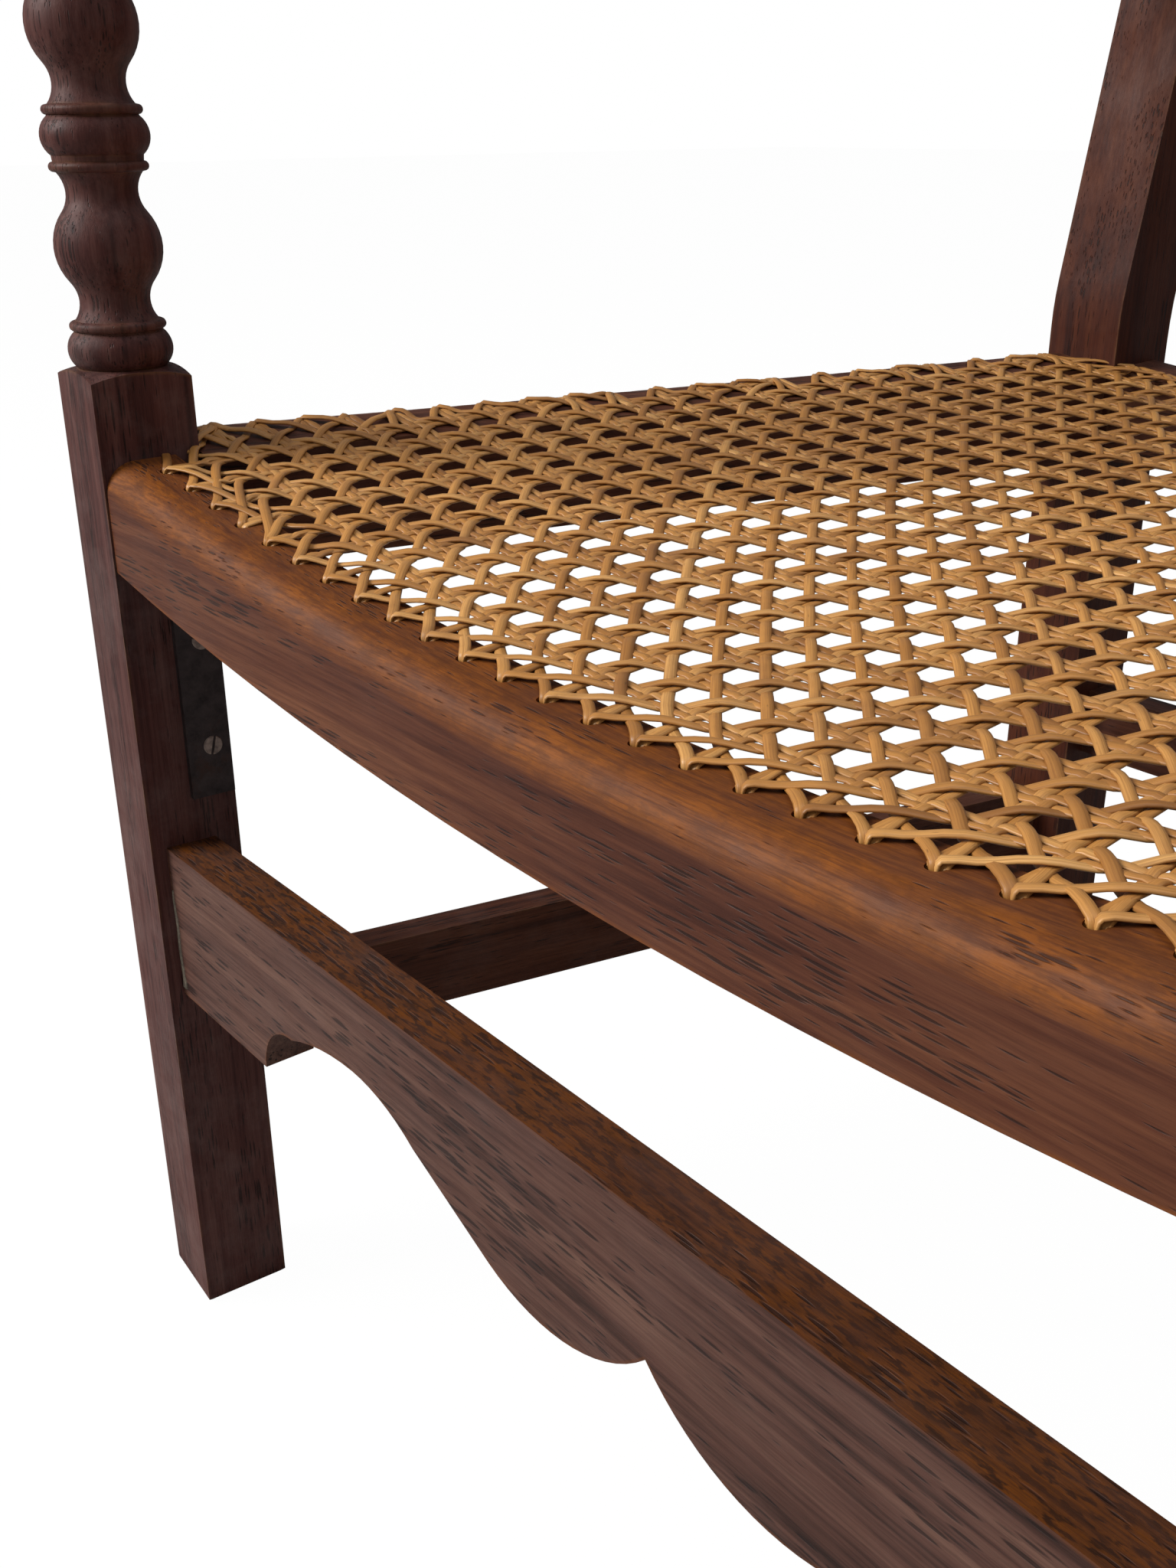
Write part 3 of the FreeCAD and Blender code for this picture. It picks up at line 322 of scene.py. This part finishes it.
def cane_material():
    """Peel of rattan: golden tan that differs from strand to strand, with long fine lines."""
    s = Shader("cane_peel")
    tone = s.add("Attribute", attribute_name="tone").outputs["Fac"]
    along = s.add("UVMap", uv_map="UVMap").outputs["UV"]

    def lines(stretch):
        return s.add("Mapping", {"Vector": along, "Scale": stretch}).outputs["Vector"]

    tans = [(0.0, linear(138, 90, 42)), (0.45, linear(186, 130, 66)), (1.0, linear(216, 164, 98))]
    colour = s.ramp(tone, tans)
    line = s.noise(lines((40, 9, 1)), 4.0, 0.6)
    colour = s.mix(s.span(line, 0.4, 0.65, 0.0, 0.55), colour, linear(124, 78, 36))
    stain = s.noise(s.place((45, 45, 45)), 4.0, 0.6)
    colour = s.mix(s.span(stain, 0.5, 0.8, 0.0, 0.55), colour, linear(112, 74, 44))
    speck = s.noise(lines((220, 3, 1)), 2.0, 0.5)
    colour = s.mix(s.span(speck, 0.68, 0.76, 0.0, 0.55), colour, linear(70, 42, 24))
    # Painted shade: each strand darkens towards its two sides, where it turns down between its neighbours
    edge = s.add("SeparateXYZ", {"Vector": along}).outputs["Y"]
    rim = s.span(s.maths("ABSOLUTE", s.maths("SUBTRACT", edge, 0.5)), 0.42, 0.5, 0.0, 0.3)
    colour = s.mix(rim, colour, linear(120, 78, 42))
    normal = s.bump(line, 0.35, 0.12 * MM)
    roughness = s.span(stain, 0.35, 0.7, 0.38, 0.56)
    return s.finish(colour, roughness, normal, Specular_IOR_Level=0.4)


def iron_material():
    s = Shader("black_iron")
    lumps = s.noise(s.place((160, 160, 160)), 5.0, 0.65)
    rust = s.noise(s.place((70, 70, 70), (0.3, 0.1, 0.7)), 5.0, 0.7)
    colour = s.ramp(lumps, [(0.3, linear(34, 26, 27)), (0.7, linear(70, 60, 60))])
    colour = s.mix(s.span(rust, 0.56, 0.72, 0.0, 0.6), colour, linear(66, 38, 26))
    normal = s.bump(lumps, 0.6, 0.5 * MM)
    return s.finish(colour, s.span(lumps, 0.3, 0.7, 0.42, 0.68), normal, Metallic=0.55)


def screw_material():
    s = Shader("dark_screw_steel")
    brush = s.noise(s.place((900, 900, 900)), 3.0, 0.6)
    tarnish = s.noise(s.place((380, 380, 380)), 4.0, 0.6)
    colour = s.ramp(tarnish, [(0.35, linear(96, 82, 76)), (0.65, linear(150, 132, 122))])
    return s.finish(colour, s.span(tarnish, 0.3, 0.7, 0.32, 0.6), s.bump(brush, 0.3, 0.1 * MM), Metallic=0.1)


def filler_material():
    s = Shader("old_filler")
    crumbs = s.noise(s.place((600, 600, 600)), 5.0, 0.7)
    colour = s.ramp(crumbs, [(0.3, linear(72, 62, 54)), (0.7, linear(122, 112, 96))])
    return s.finish(colour, s.span(crumbs, 0.3, 0.7, 0.7, 0.9), s.bump(crumbs, 0.8, 0.4 * MM))


def dress(name, material):
    """Give a CAD node its material."""
    slots = nodes[name].material_slots
    if not slots:
        nodes[name].data.materials.append(material)
    for each in nodes[name].material_slots:
        each.material = material


def mesh_piece(name, points, faces, material, smooth_faces=True):
    mesh = bpy.data.meshes.new(name)
    mesh.from_pydata([tuple(p) for p in points], [], [tuple(f) for f in faces])
    mesh.polygons.foreach_set("use_smooth", [smooth_faces] * len(mesh.polygons))
    mesh.materials.append(material)
    mesh.update()
    piece = bpy.data.objects.new(name, mesh)
    bpy.context.scene.collection.objects.link(piece)
    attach(piece, "root")
    return piece


def dish(x, y):
    """Top of the rails' wood."""
    rise = (y - HOLES_FRONT) * DISH_RISE / (HOLES_BACK - HOLES_FRONT)
    return SEAT_HEIGHT - DIP + rise + DISH_RADIUS - np.sqrt(DISH_RADIUS ** 2 - x * x) - WOOD_DROP


def tube_faces(start, count, around):
    """Quads between count rings of points, the first one's points from start on, and a cap at each end."""
    last = start + (count - 1) * around
    faces = []
    for i in range(start, last, around):
        for j in range(around):
            k = (j + 1) % around
            faces.append((i + j, i + k, i + around + k, i + around + j))
    faces.append(tuple(range(start, start + around))[::-1])
    faces.append(tuple(range(last, last + around)))
    return faces


class Seat:
    """The seat's lattice: columns run front to back and close up, rows bow back at the sides."""
    first_row = -0.3 * MM
    row_pitch = 18.06 * MM
    row_growth = 0.13 * MM
    row_bow = 0.06 * MM
    bow_easing = 0.3
    crown = 2.95 * MM
    crown_taper = 0.2
    back_row = 22.5
    rows = range(1, 23)
    columns = range(-FRONT_HOLES, FRONT_HOLES + 1)
    reach = (-3.0, 24.0)
    span = (-19.0, 20.0)

    def __init__(self):
        self.front = [(k * HOLE_PITCH, HOLES_FRONT) for k in self.columns]
        self.back = [(k * BACK_PITCH, HOLES_BACK) for k in range(-BACK_HOLES, BACK_HOLES + 1)]
        spots = self.front + self.back
        for k in range(SIDE_HOLES):
            y = SIDE_FIRST + SIDE_PITCH * k + SIDE_GROWTH * k * k / 2
            spots += [(side * self.side_line(y), y) for side in (-1, 1)]
        self.holes = np.array(spots)

    def side_line(self, y):
        return FRONT_HALF + SIDE_LINE_OUT - y * math.tan(SPLAY)

    def lattice(self, c, v):
        t = v / self.back_row
        x = HOLE_PITCH * c * (1 - t) + BACK_PITCH * (c - 1) * t
        middle_y = self.first_row + self.row_pitch * v + self.row_growth * v * v
        return x, middle_y + self.row_bow * c * c * (1 - self.bow_easing * t)

    def inside(self, x, y):
        return np.minimum(np.minimum(y - HOLES_FRONT, HOLES_BACK - y), self.side_line(y) - np.abs(x))

    def bulge(self, x, y):
        """How far the stretched cane stands above the dish between the rails."""
        t = np.clip((y - HOLES_FRONT) / (HOLES_BACK - HOLES_FRONT), 0, 1)
        half = INNER_HALF - self.crown_taper * (y - HOLES_FRONT)
        return self.crown * 4 * t * (1 - t) * np.clip(1 - (x / half) ** 2, 0, 1)

    def at(self, x, y, lift):
        return np.c_[x, FRONT_Y + y, dish(x, y) + lift]

    def up(self, x, y):
        slope = DISH_RISE / (HOLES_BACK - HOLES_FRONT)
        way = np.c_[-x / DISH_RADIUS, np.full_like(x, -slope), np.ones_like(x)]
        return way / np.linalg.norm(way, axis=1)[:, None]


class Panel:
    """The back's square lattice on the leaning panel."""
    rows = range(1, PANEL_ROWS + 1)
    columns = range(-PANEL_COLUMNS, PANEL_COLUMNS + 1)
    reach = (-2.0, PANEL_ROWS + 3.0)
    span = (-8.0, 8.0)
    base = PANEL_MIDDLE - (PANEL_ROWS + 1) * HOLE_PITCH / 2
    top = PANEL_MIDDLE + (PANEL_ROWS + 1) * HOLE_PITCH / 2

    def __init__(self):
        spots = [(k * HOLE_PITCH, z) for k in self.columns for z in (self.base, self.top)]
        spots += [(side * PANEL_HALF, self.base + k * HOLE_PITCH) for k in self.rows for side in (-1, 1)]
        self.holes = np.array(spots)

    def lattice(self, c, v):
        return HOLE_PITCH * c, self.base + HOLE_PITCH * v

    def inside(self, x, y):
        return np.minimum(np.minimum(y - self.base, self.top - y), PANEL_HALF - np.abs(x))

    def bulge(self, x, y):
        return np.zeros_like(x)

    def at(self, x, y, lift):
        out = np.asarray(lift) - PANEL_SETBACK
        return np.c_[x, BACK_Y + y * math.sin(RAKE) - out * math.cos(RAKE),
                     BEND_HEIGHT + y * math.cos(RAKE) + out * math.sin(RAKE)]

    def up(self, x, y):
        return np.tile([0, -math.cos(RAKE), math.sin(RAKE)], (len(x), 1))


def node_wave(offset):
    """Rise and fall of a strand that passes under one strand of a pair and over the other."""
    t = offset / PAIR_HALF
    return t * np.exp(0.5 * (1 - t * t))


def steps(low, high, parts):
    """Every whole number from low to high plus each of the parts."""
    whole = np.arange(math.floor(low), math.ceil(high) + 1)
    spots = np.sort((whole[:, None] + np.array(parts)[None, :]).ravel())
    return spots[(spots >= low) & (spots <= high)]


WAVE_PARTS = (-0.32, -0.17, -PAIR_HALF, 0.0, PAIR_HALF, 0.17, 0.32, 0.5)
TURN_PARTS = (0.0, 0.125, 0.25, 0.375, 0.5, 0.625, 0.75, 0.875)


def wander(length, size):
    """A strand's own slow drift from its ideal line."""
    t = np.linspace(0, 1, length)
    waves = []
    for n in (1, 2.3, 5.1):
        strength = random.normal(0, size)
        waves.append(strength * np.sin(2 * math.pi * (n * t + random.random())) / n)
    return sum(waves)


def threads(panel):
    """All strands of a panel: lattice c and v, height in the weave, height at its holes, bias and side.

    The bias is the half pitch by which a diagonal keeps to its own side along the first row, and the
    side is the strand's place in its pair.
    """
    made = []
    for k in panel.columns:
        for side in (-1, 1):
            v = steps(panel.reach[0], panel.reach[1], WAVE_PARTS)
            height = -side * NODE_RISE * node_wave(v - np.round(v))
            made.append((np.full_like(v, k + side * PAIR_HALF), v, height, COLUMN_REST, 0.0, side))
    for n in panel.rows:
        for side in (-1, 1):
            c = steps(panel.span[0], panel.span[1], WAVE_PARTS)
            height = side * NODE_RISE * node_wave(c - np.round(c))
            made.append((c, np.full_like(c, n + side * PAIR_HALF), height, ROW_REST, 0.0, side))
    v = steps(panel.reach[0], panel.reach[1], TURN_PARTS)
    wave = DIAGONAL_RISE * np.cos(2 * math.pi * v)
    low = int(panel.span[0]) - 2
    high = int(panel.span[1]) + int(panel.reach[1]) + 2
    for n in range(low, high):
        made.append((n - FIRST_SHIFT - v, v, FIRST_MEAN + wave, FIRST_REST, 0.5, 0))
    for n in range(low - int(panel.reach[1]), high - int(panel.reach[1])):
        made.append((n + SECOND_SHIFT + v, v, SECOND_MEAN - wave, SECOND_REST, -0.5, 0))
    return made


def laid_strand(panel, c, v, height, rest, bias, side):
    """One strand from hole to hole: its points and the way across it at each, or None if it misses."""
    c = c + wander(len(c), WANDER)
    v = v + wander(len(v), WANDER)
    x, y = panel.lattice(c, v)
    deep = panel.inside(x, y)
    held = np.nonzero(deep > 0)[0]
    if len(held) < FEWEST_POINTS:
        return None
    first, last = held[0], held[-1]
    if first == 0 or last == len(x) - 1:
        return None

    def crossing(a, b):
        t = deep[a] / (deep[a] - deep[b])
        return x[a] + (x[b] - x[a]) * t, y[a] + (y[b] - y[a]) * t

    starts = crossing(first, first - 1)
    ends = crossing(last, last + 1)
    x = np.r_[starts[0], x[held], ends[0]]
    y = np.r_[starts[1], y[held], ends[1]]
    height = np.r_[0, height[held], 0]
    run = np.r_[0, np.cumsum(np.hypot(np.diff(x), np.diff(y)))]
    if run[-1] < SHORTEST_RUN:
        return None

    def hole_near(px, py):
        """The hole this end goes down; a diagonal keeps to its own side along the first row."""
        if py < panel.holes[:, 1].min() + 1 * MM:
            px = px + bias * HOLE_PITCH
        away = np.hypot(panel.holes[:, 0] - px, panel.holes[:, 1] - py)
        return panel.holes[away.argmin()]

    for end, distance in ((0, run), (-1, run[-1] - run)):
        hole = hole_near(x[end], y[end])
        pull = 1 - smooth(distance / min(BEND_RUN, run[-1] / 2))
        shift_x, shift_y = hole[0] - x[end], hole[1] - y[end]
        x = x + shift_x * pull
        y = y + shift_y * pull
    gap = np.minimum(run, run[-1] - run)
    lift = rest + (WEAVE_LEVEL - rest) * smooth(gap / SETTLE_RUN) + height * smooth(gap / WAVE_RUN)
    points = panel.at(x, y, lift + panel.bulge(x, y))
    ups = panel.up(x, y)

    # Spread the two strands of a pair at the hole, and turn both ends down it
    flow = np.gradient(points, axis=0)
    flow /= np.linalg.norm(flow, axis=1)[:, None]
    across = np.cross(ups, flow)
    across /= np.linalg.norm(across, axis=1)[:, None]
    points += across * (side * END_SPREAD * (1 - smooth(gap / BEND_RUN)))[:, None]

    def tucked(point, way, up):
        """Points that roll over the hole's rim and go down it; way is the direction the strand leaves."""
        turns = np.radians([30, 60, 90])
        bend = [point + way * TUCK * math.sin(a) - up * TUCK * (1 - math.cos(a)) for a in turns]
        return np.array(bend + [bend[-1] - up * DIVE * 0.5, bend[-1] - up * DIVE])

    start = tucked(points[0] + flow[0] * TUCK, -flow[0], ups[0])
    finish = tucked(points[-1] - flow[-1] * TUCK, flow[-1], ups[-1])
    inner = gap > TUCK * 1.2
    points = np.r_[start[::-1], points[inner], finish]
    at_start = np.repeat(across[:1], len(start), 0)
    at_finish = np.repeat(across[-1:], len(finish), 0)
    return points, np.r_[at_start, across[inner], at_finish]


def ribbon(points, across, width, twist):
    """Sweep the strand's section along its points."""
    flow = np.gradient(points, axis=0)
    flow /= np.linalg.norm(flow, axis=1)[:, None]
    across = across - flow * np.sum(across * flow, axis=1)[:, None]
    across /= np.linalg.norm(across, axis=1)[:, None]
    up = np.cross(flow, across)
    turned_across = across * np.cos(twist)[:, None] + up * np.sin(twist)[:, None]
    turned_up = up * np.cos(twist)[:, None] - across * np.sin(twist)[:, None]
    section = np.array(SECTION) * width
    ring = points[:, None, :] + turned_across[:, None, :] * section[None, :, :1]
    return ring + turned_up[:, None, :] * section[None, :, 1:]


def under_loops(panel, rows, depth):
    """Short strands below the rails, or behind the frame, that join each hole to its neighbour."""
    made = []
    for row in rows:
        for a, b in zip(row[0::2], row[1::2]):
            a, b = np.array(a), np.array(b)
            # Where along the loop each point lies, and how far it hangs below the wood
            t = np.array([0, 0, 0.04, 0.12, 0.3, 0.5, 0.7, 0.88, 0.96, 1, 1])
            drop = np.array([-5, -2, 0.1, 0.6, 0.7, 0.7, 0.7, 0.6, 0.1, -2, -5]) * MM
            x = a[0] + (b[0] - a[0]) * t
            y = a[1] + (b[1] - a[1]) * t
            points = depth(x, y, drop)
            up = -panel.up(x, y)
            flow = np.gradient(points, axis=0)
            side = np.cross(np.broadcast_to(up[:1], flow.shape), np.broadcast_to(flow[5:6], flow.shape))
            made.append((points, side / np.linalg.norm(side, axis=1)[:, None]))
    return made


def weave(name, node, panel, loops, material):
    """All strands of a panel in one piece that stands for the CAD node."""
    laid = [laid_strand(panel, *thread) for thread in threads(panel)]
    laid = [strand for strand in laid if strand is not None] + loops
    points, faces, tones, corners = [], [], [], []
    around = len(SECTION)
    share = [s[0] + 0.5 for s in SECTION]
    cap = tuple(value for part in share for value in (0.0, part))
    total = 0
    for line, across in laid:
        count = len(line)
        twist = np.radians(wander(count, TWIST_SPREAD))
        ring = ribbon(line, across, STRAND_WIDE * (1 + random.normal(0, WIDTH_SPREAD)), twist)
        points.append(ring.reshape(-1, 3))
        tone = np.clip(random.normal(0.5, TONE_SPREAD), 0.05, 0.98)
        tones.append(np.full(count * around, tone))
        run = np.r_[0, np.cumsum(np.linalg.norm(np.diff(line, axis=0), axis=1))]
        run = run + random.random() * PATTERN_RUN
        for here, there in zip(run[:-1], run[1:]):
            for j in range(around):
                left, right = share[j], share[(j + 1) % around]
                corners.append((here, left, here, right, there, right, there, left))
        corners += [cap, cap]
        faces += tube_faces(total, count, around)
        total += count * around
    piece = mesh_piece(name, np.concatenate(points), faces, material)
    uv = piece.data.uv_layers.new(name="UVMap")
    uv.data.foreach_set("uv", np.concatenate([np.array(c) for c in corners]).astype(np.float32))
    tone_layer = piece.data.attributes.new("tone", "FLOAT", "POINT")
    tone_layer.data.foreach_set("value", np.concatenate(tones).astype(np.float32))
    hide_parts(node)
    return piece


def seat_loops(seat):
    """The cane's loops under the four seat rails."""
    sides = [sorted([tuple(h) for h in seat.holes if h[0] * side > 0 and HOLES_FRONT < h[1] < HOLES_BACK],
                    key=lambda h: h[1]) for side in (-1, 1)]

    def under_front(x, y, drop):
        return np.c_[x, FRONT_Y + y, dish(x, y) + WOOD_DROP - RAIL_HIGH - drop]

    def under_side(x, y, drop):
        return np.c_[x, FRONT_Y + y, SIDE_BOTTOM - drop]

    return under_loops(seat, [seat.front], under_front) + under_loops(seat, [seat.back] + sides, under_side)


def panel_loops(panel):
    """The cane's loops behind the back panel's frame."""
    rows = [[(k * HOLE_PITCH, z) for k in panel.columns] for z in (panel.base, panel.top)]
    rows += [[(side * PANEL_HALF, panel.base + k * HOLE_PITCH) for k in panel.rows] for side in (-1, 1)]

    def behind(x, y, drop):
        return panel.at(x, y, -PANEL_THICK - drop)

    return under_loops(panel, rows, behind)


def screw_rings(head, way, across, radius, around):
    """Points of one countersunk screw, ring by ring; way points into the wood."""
    along = way.cross(across)
    # Radius and depth of each ring: the proud face, the head's rim, the cone below it and the shank
    rings = [(radius * 0.93, -0.5 * MM), (radius, 0.0), (radius, 0.8 * MM), (radius * 0.45, 3 * MM),
             (radius * 0.42, 16 * MM)]
    points = []
    for ring_radius, depth in rings:
        for k in range(around):
            a = 2 * math.pi * k / around
            side = across * (math.cos(a) * ring_radius) + along * (math.sin(a) * ring_radius)
            points.append(head + way * depth + side)
    return points


def cut_away(piece, cutters):
    """Take the cutters' shapes out of a piece's mesh, and delete them."""
    bpy.context.view_layer.update()
    for cutter in cutters:
        cut = piece.modifiers.new("cut", "BOOLEAN")
        cut.object = cutter
        cut.operation = "DIFFERENCE"
    done = bpy.data.meshes.new_from_object(piece.evaluated_get(bpy.context.evaluated_depsgraph_get()))
    piece.modifiers.clear()
    piece.data = done
    for cutter in cutters:
        bpy.data.objects.remove(cutter)


def slotted_screws(material):
    """Four countersunk wood screws with a straight slot, two through each bracket."""
    low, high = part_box("bracket_screws")
    y = (low.y + high.y) / 2
    radius = (high.y - low.y) / 2
    heights = (low.z + radius, high.z - radius)
    plate = LEG_HALF + BRACKET_THICK
    inner_x = FRONT_HALF - plate / math.cos(LEG_TURN) - (y - FRONT_Y) * math.tan(LEG_TURN)
    points, faces, cutters = [], [], []
    for side in (-1, 1):
        turned = Matrix.Rotation(side * LEG_TURN, 3, "Z")
        way = turned @ Vector((side, 0, 0))
        for z, spin in zip(heights, SCREW_SPINS):
            across = turned @ Vector((0, math.cos(spin), math.sin(spin)))
            rings = screw_rings(Vector((side * inner_x, y, z)), way, across, radius, SCREW_SIDES)
            faces += tube_faces(len(points), len(rings) // SCREW_SIDES, SCREW_SIDES)
            points += rings
            bpy.ops.mesh.primitive_cube_add(size=1, location=(side * (inner_x - SLOT_OUT), y, z))
            cutter = bpy.context.object
            cutter.scale = SLOT_BOX
            cutter.rotation_euler = (spin, 0, side * LEG_TURN)
            cutters.append(cutter)
    piece = mesh_piece("slotted_screws", points, faces, material, smooth_faces=False)
    cut_away(piece, cutters)
    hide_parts("bracket_screws")
    return piece


def joint_filler(material):
    """A crooked line of old filler down the front stretcher's joint with the left leg."""
    count = 15
    x = LEG_HALF - FRONT_HALF + FILLER_GAP
    profile = [(-0.8, 0.6 * MM), (-0.2, -0.5 * MM), (0.6, -0.55 * MM), (1.0, 0.6 * MM)]
    points = []
    for i, z in enumerate(np.linspace(FILLER_LOW, FILLER_HIGH, count)):
        wide = (1.1 + 0.8 * abs(math.sin(i * 1.7)) + 2.4 * math.exp(-i)) * MM * min(1, (count - i) / 4)
        drift = 0.4 * MM * math.sin(i * 0.9)
        points += [(x + drift + share * wide, STRETCHER_FACE + out, z) for share, out in profile]
    return mesh_piece("joint_filler", points, tube_faces(0, count, len(profile)), material)


def set_camera():
    """The photograph's close viewpoint, from above the chair's right front."""
    focal_px, tall_px = 2036.0, 2048.0
    azimuth, tilt, roll = (math.radians(a) for a in (51.39, 23.2, 0.44))
    away = Vector((-math.sin(azimuth) * math.cos(tilt), math.cos(azimuth) * math.cos(tilt), -math.sin(tilt)))
    right = Vector((math.cos(azimuth), math.sin(azimuth), 0))
    down = away.cross(right)
    level_right = right * math.cos(roll) + down * math.sin(roll)
    level_down = down * math.cos(roll) - right * math.sin(roll)
    data = bpy.data.cameras.new("camera")
    data.sensor_fit = "VERTICAL"
    data.sensor_height = 36.0
    data.lens = data.sensor_height * focal_px / tall_px
    data.clip_start = 0.02
    camera = bpy.data.objects.new("camera", data)
    bpy.context.scene.collection.objects.link(camera)
    turn = Matrix((level_right, -level_down, -away)).transposed()
    place = Vector((256.9 * MM, FRONT_Y - 238.2 * MM, 506.1 * MM))
    camera.matrix_world = Matrix.Translation(place) @ turn.to_4x4()
    bpy.context.scene.camera = camera


def area_light(name, place, target, size, power, colour=(1, 1, 1)):
    data = bpy.data.lights.new(name, "AREA")
    data.shape = "DISK"
    data.size = size
    data.energy = power
    data.color = colour
    lamp = bpy.data.objects.new(name, data)
    bpy.context.scene.collection.objects.link(lamp)
    lamp.location = place
    lamp.rotation_euler = (Vector(target) - Vector(place)).to_track_quat("-Z", "Y").to_euler()
    return lamp


def set_world():
    """Surroundings that the camera sees as plain white and that light the chair softly."""
    world = bpy.data.worlds.new("studio")
    world.use_nodes = True
    bpy.context.scene.world = world
    tree = world.node_tree
    tree.nodes.clear()
    output = tree.nodes.new("ShaderNodeOutputWorld")
    seen = tree.nodes.new("ShaderNodeBackground")
    lit = tree.nodes.new("ShaderNodeBackground")
    seen.inputs["Color"].default_value = (1, 1, 1, 1)
    seen.inputs["Strength"].default_value = 1.0
    lit.inputs["Color"].default_value = (0.93, 0.96, 1.0, 1)
    lit.inputs["Strength"].default_value = 0.22
    path = tree.nodes.new("ShaderNodeLightPath")
    choose = tree.nodes.new("ShaderNodeMixShader")
    tree.links.new(path.outputs["Is Camera Ray"], choose.inputs["Fac"])
    tree.links.new(lit.outputs[0], choose.inputs[1])
    tree.links.new(seen.outputs[0], choose.inputs[2])
    tree.links.new(choose.outputs[0], output.inputs["Surface"])


def set_floor():
    """A floor that the camera sees as white with a faint shadow."""
    s = Shader("studio_floor")
    matt = s.add("BsdfDiffuse", {"Color": (0.45, 0.44, 0.43, 1)})
    white = s.add("Emission", {"Color": (1, 1, 1, 1), "Strength": 1.035})
    rays = s.add("LightPath").outputs["Is Camera Ray"]
    seen_white = s.maths("MULTIPLY", rays, 0.95)
    both = s.add("MixShader", {"Fac": seen_white})
    s.tree.links.new(matt.outputs[0], both.inputs[1])
    s.tree.links.new(white.outputs[0], both.inputs[2])
    s.tree.links.new(both.outputs[0], s.output.inputs["Surface"])
    bpy.ops.mesh.primitive_plane_add(size=40, location=(0, 0, 0))
    floor = bpy.context.object
    floor.name = "studio_floor"
    floor.data.materials.append(s.material)


def set_lights():
    """A window from the front left, and two weak lamps that open the shadows."""
    middle = (0, 0, 0.4)
    area_light("window", (-1.7, -2.6, 2.2), middle, 1.8, 150, (1.0, 0.985, 0.96))
    area_light("overhead", (0.3, 0.2, 3.0), middle, 2.4, 22, (0.97, 0.98, 1.0))
    area_light("fill", (2.6, -1.2, 1.2), middle, 2.0, 5, (1.0, 0.97, 0.94))


LEG_TONES = ((44, 18, 17), (76, 42, 38), (96, 62, 56))
ARM_TONES = ((48, 20, 16), (84, 42, 28), (110, 64, 42))
RAIL_TONES = ((50, 21, 14), (82, 44, 29), (106, 64, 42))
STRETCHER_TONES = ((40, 24, 20), (82, 54, 46), (108, 78, 66))
STILE_TONES = ((46, 16, 8), (68, 29, 14), (84, 42, 22))
SIDE_TONES = ((40, 17, 10), (74, 38, 24), (96, 56, 38))


def dress_wood():
    """Give each wooden node its own oak, with its grain along the piece and its worn faces."""
    # The legs get the strongest grey bloom, partly dust and partly painted sheen
    dress("front_leg_left", oak("oak_front_leg_left", "z", 1.0, LEG_TONES, dust_and_sheen=0.26))
    dress("front_leg_right", oak("oak_front_leg_right", "z", 2.3, LEG_TONES, dust_and_sheen=0.26))
    dress("front_seat_rail",
          oak("oak_front_rail", "x", 3.1, RAIL_TONES, worn=(128, 70, 14), wear_way=(0, -0.6, 0.8), dust_and_sheen=0.03))
    dress("front_stretcher",
          oak("oak_front_stretcher", "x", 4.7, STRETCHER_TONES, worn=(104, 56, 14), wear_way=(0, 0, 1),
              dust_and_sheen=0.08, pore=(60, 520), flecked=0.85))
    dress("back_seat_rail", oak("oak_back_rail", "x", 5.9, RAIL_TONES))
    dress("back_stretcher", oak("oak_back_stretcher", "x", 6.4, SIDE_TONES))
    for side, way in (("left", -1), ("right", 1)):
        lean = (0, 0, math.pi / 2 - way * SPLAY)
        dress("side_seat_rail_" + side, oak("oak_side_rail_" + side, "y", 7.2 + way, RAIL_TONES, turn=lean))
        dress("side_stretcher_" + side,
              oak("oak_side_stretcher_" + side, "y", 9.6 + way, SIDE_TONES, turn=lean))
        dress("back_leg_" + side, oak("oak_back_leg_" + side, "z", 12.4 + way, STILE_TONES, dust_and_sheen=0.05))
        dress("back_upright_" + side,
              oak("oak_back_upright_" + side, "z", 15.1 + way, STILE_TONES, dust_and_sheen=0.05))
        dress("arm_" + side,
              oak("oak_arm_" + side, "y", 18.8 + way, ARM_TONES, worn=(110, 66, 36), wear_way=(0, 0, 1),
                  turn=lean))
    dress("crest_rail", oak("oak_crest_rail", "x", 21.5, STILE_TONES))
    dress("lower_back_rail", oak("oak_lower_back_rail", "x", 23.7, STILE_TONES))


set_camera()
set_world()
set_floor()
set_lights()
dress_wood()
iron = iron_material()
dress("corner_bracket_left", iron)
dress("corner_bracket_right", iron)
cane = cane_material()
seat = Seat()
weave("woven_seat", "cane_seat", seat, seat_loops(seat), cane)
panel = Panel()
weave("woven_back", "cane_back", panel, panel_loops(panel), cane)
slotted_screws(screw_material())
joint_filler(filler_material())

bpy.context.scene.view_settings.view_transform = "Standard"
bpy.context.view_layer.update()
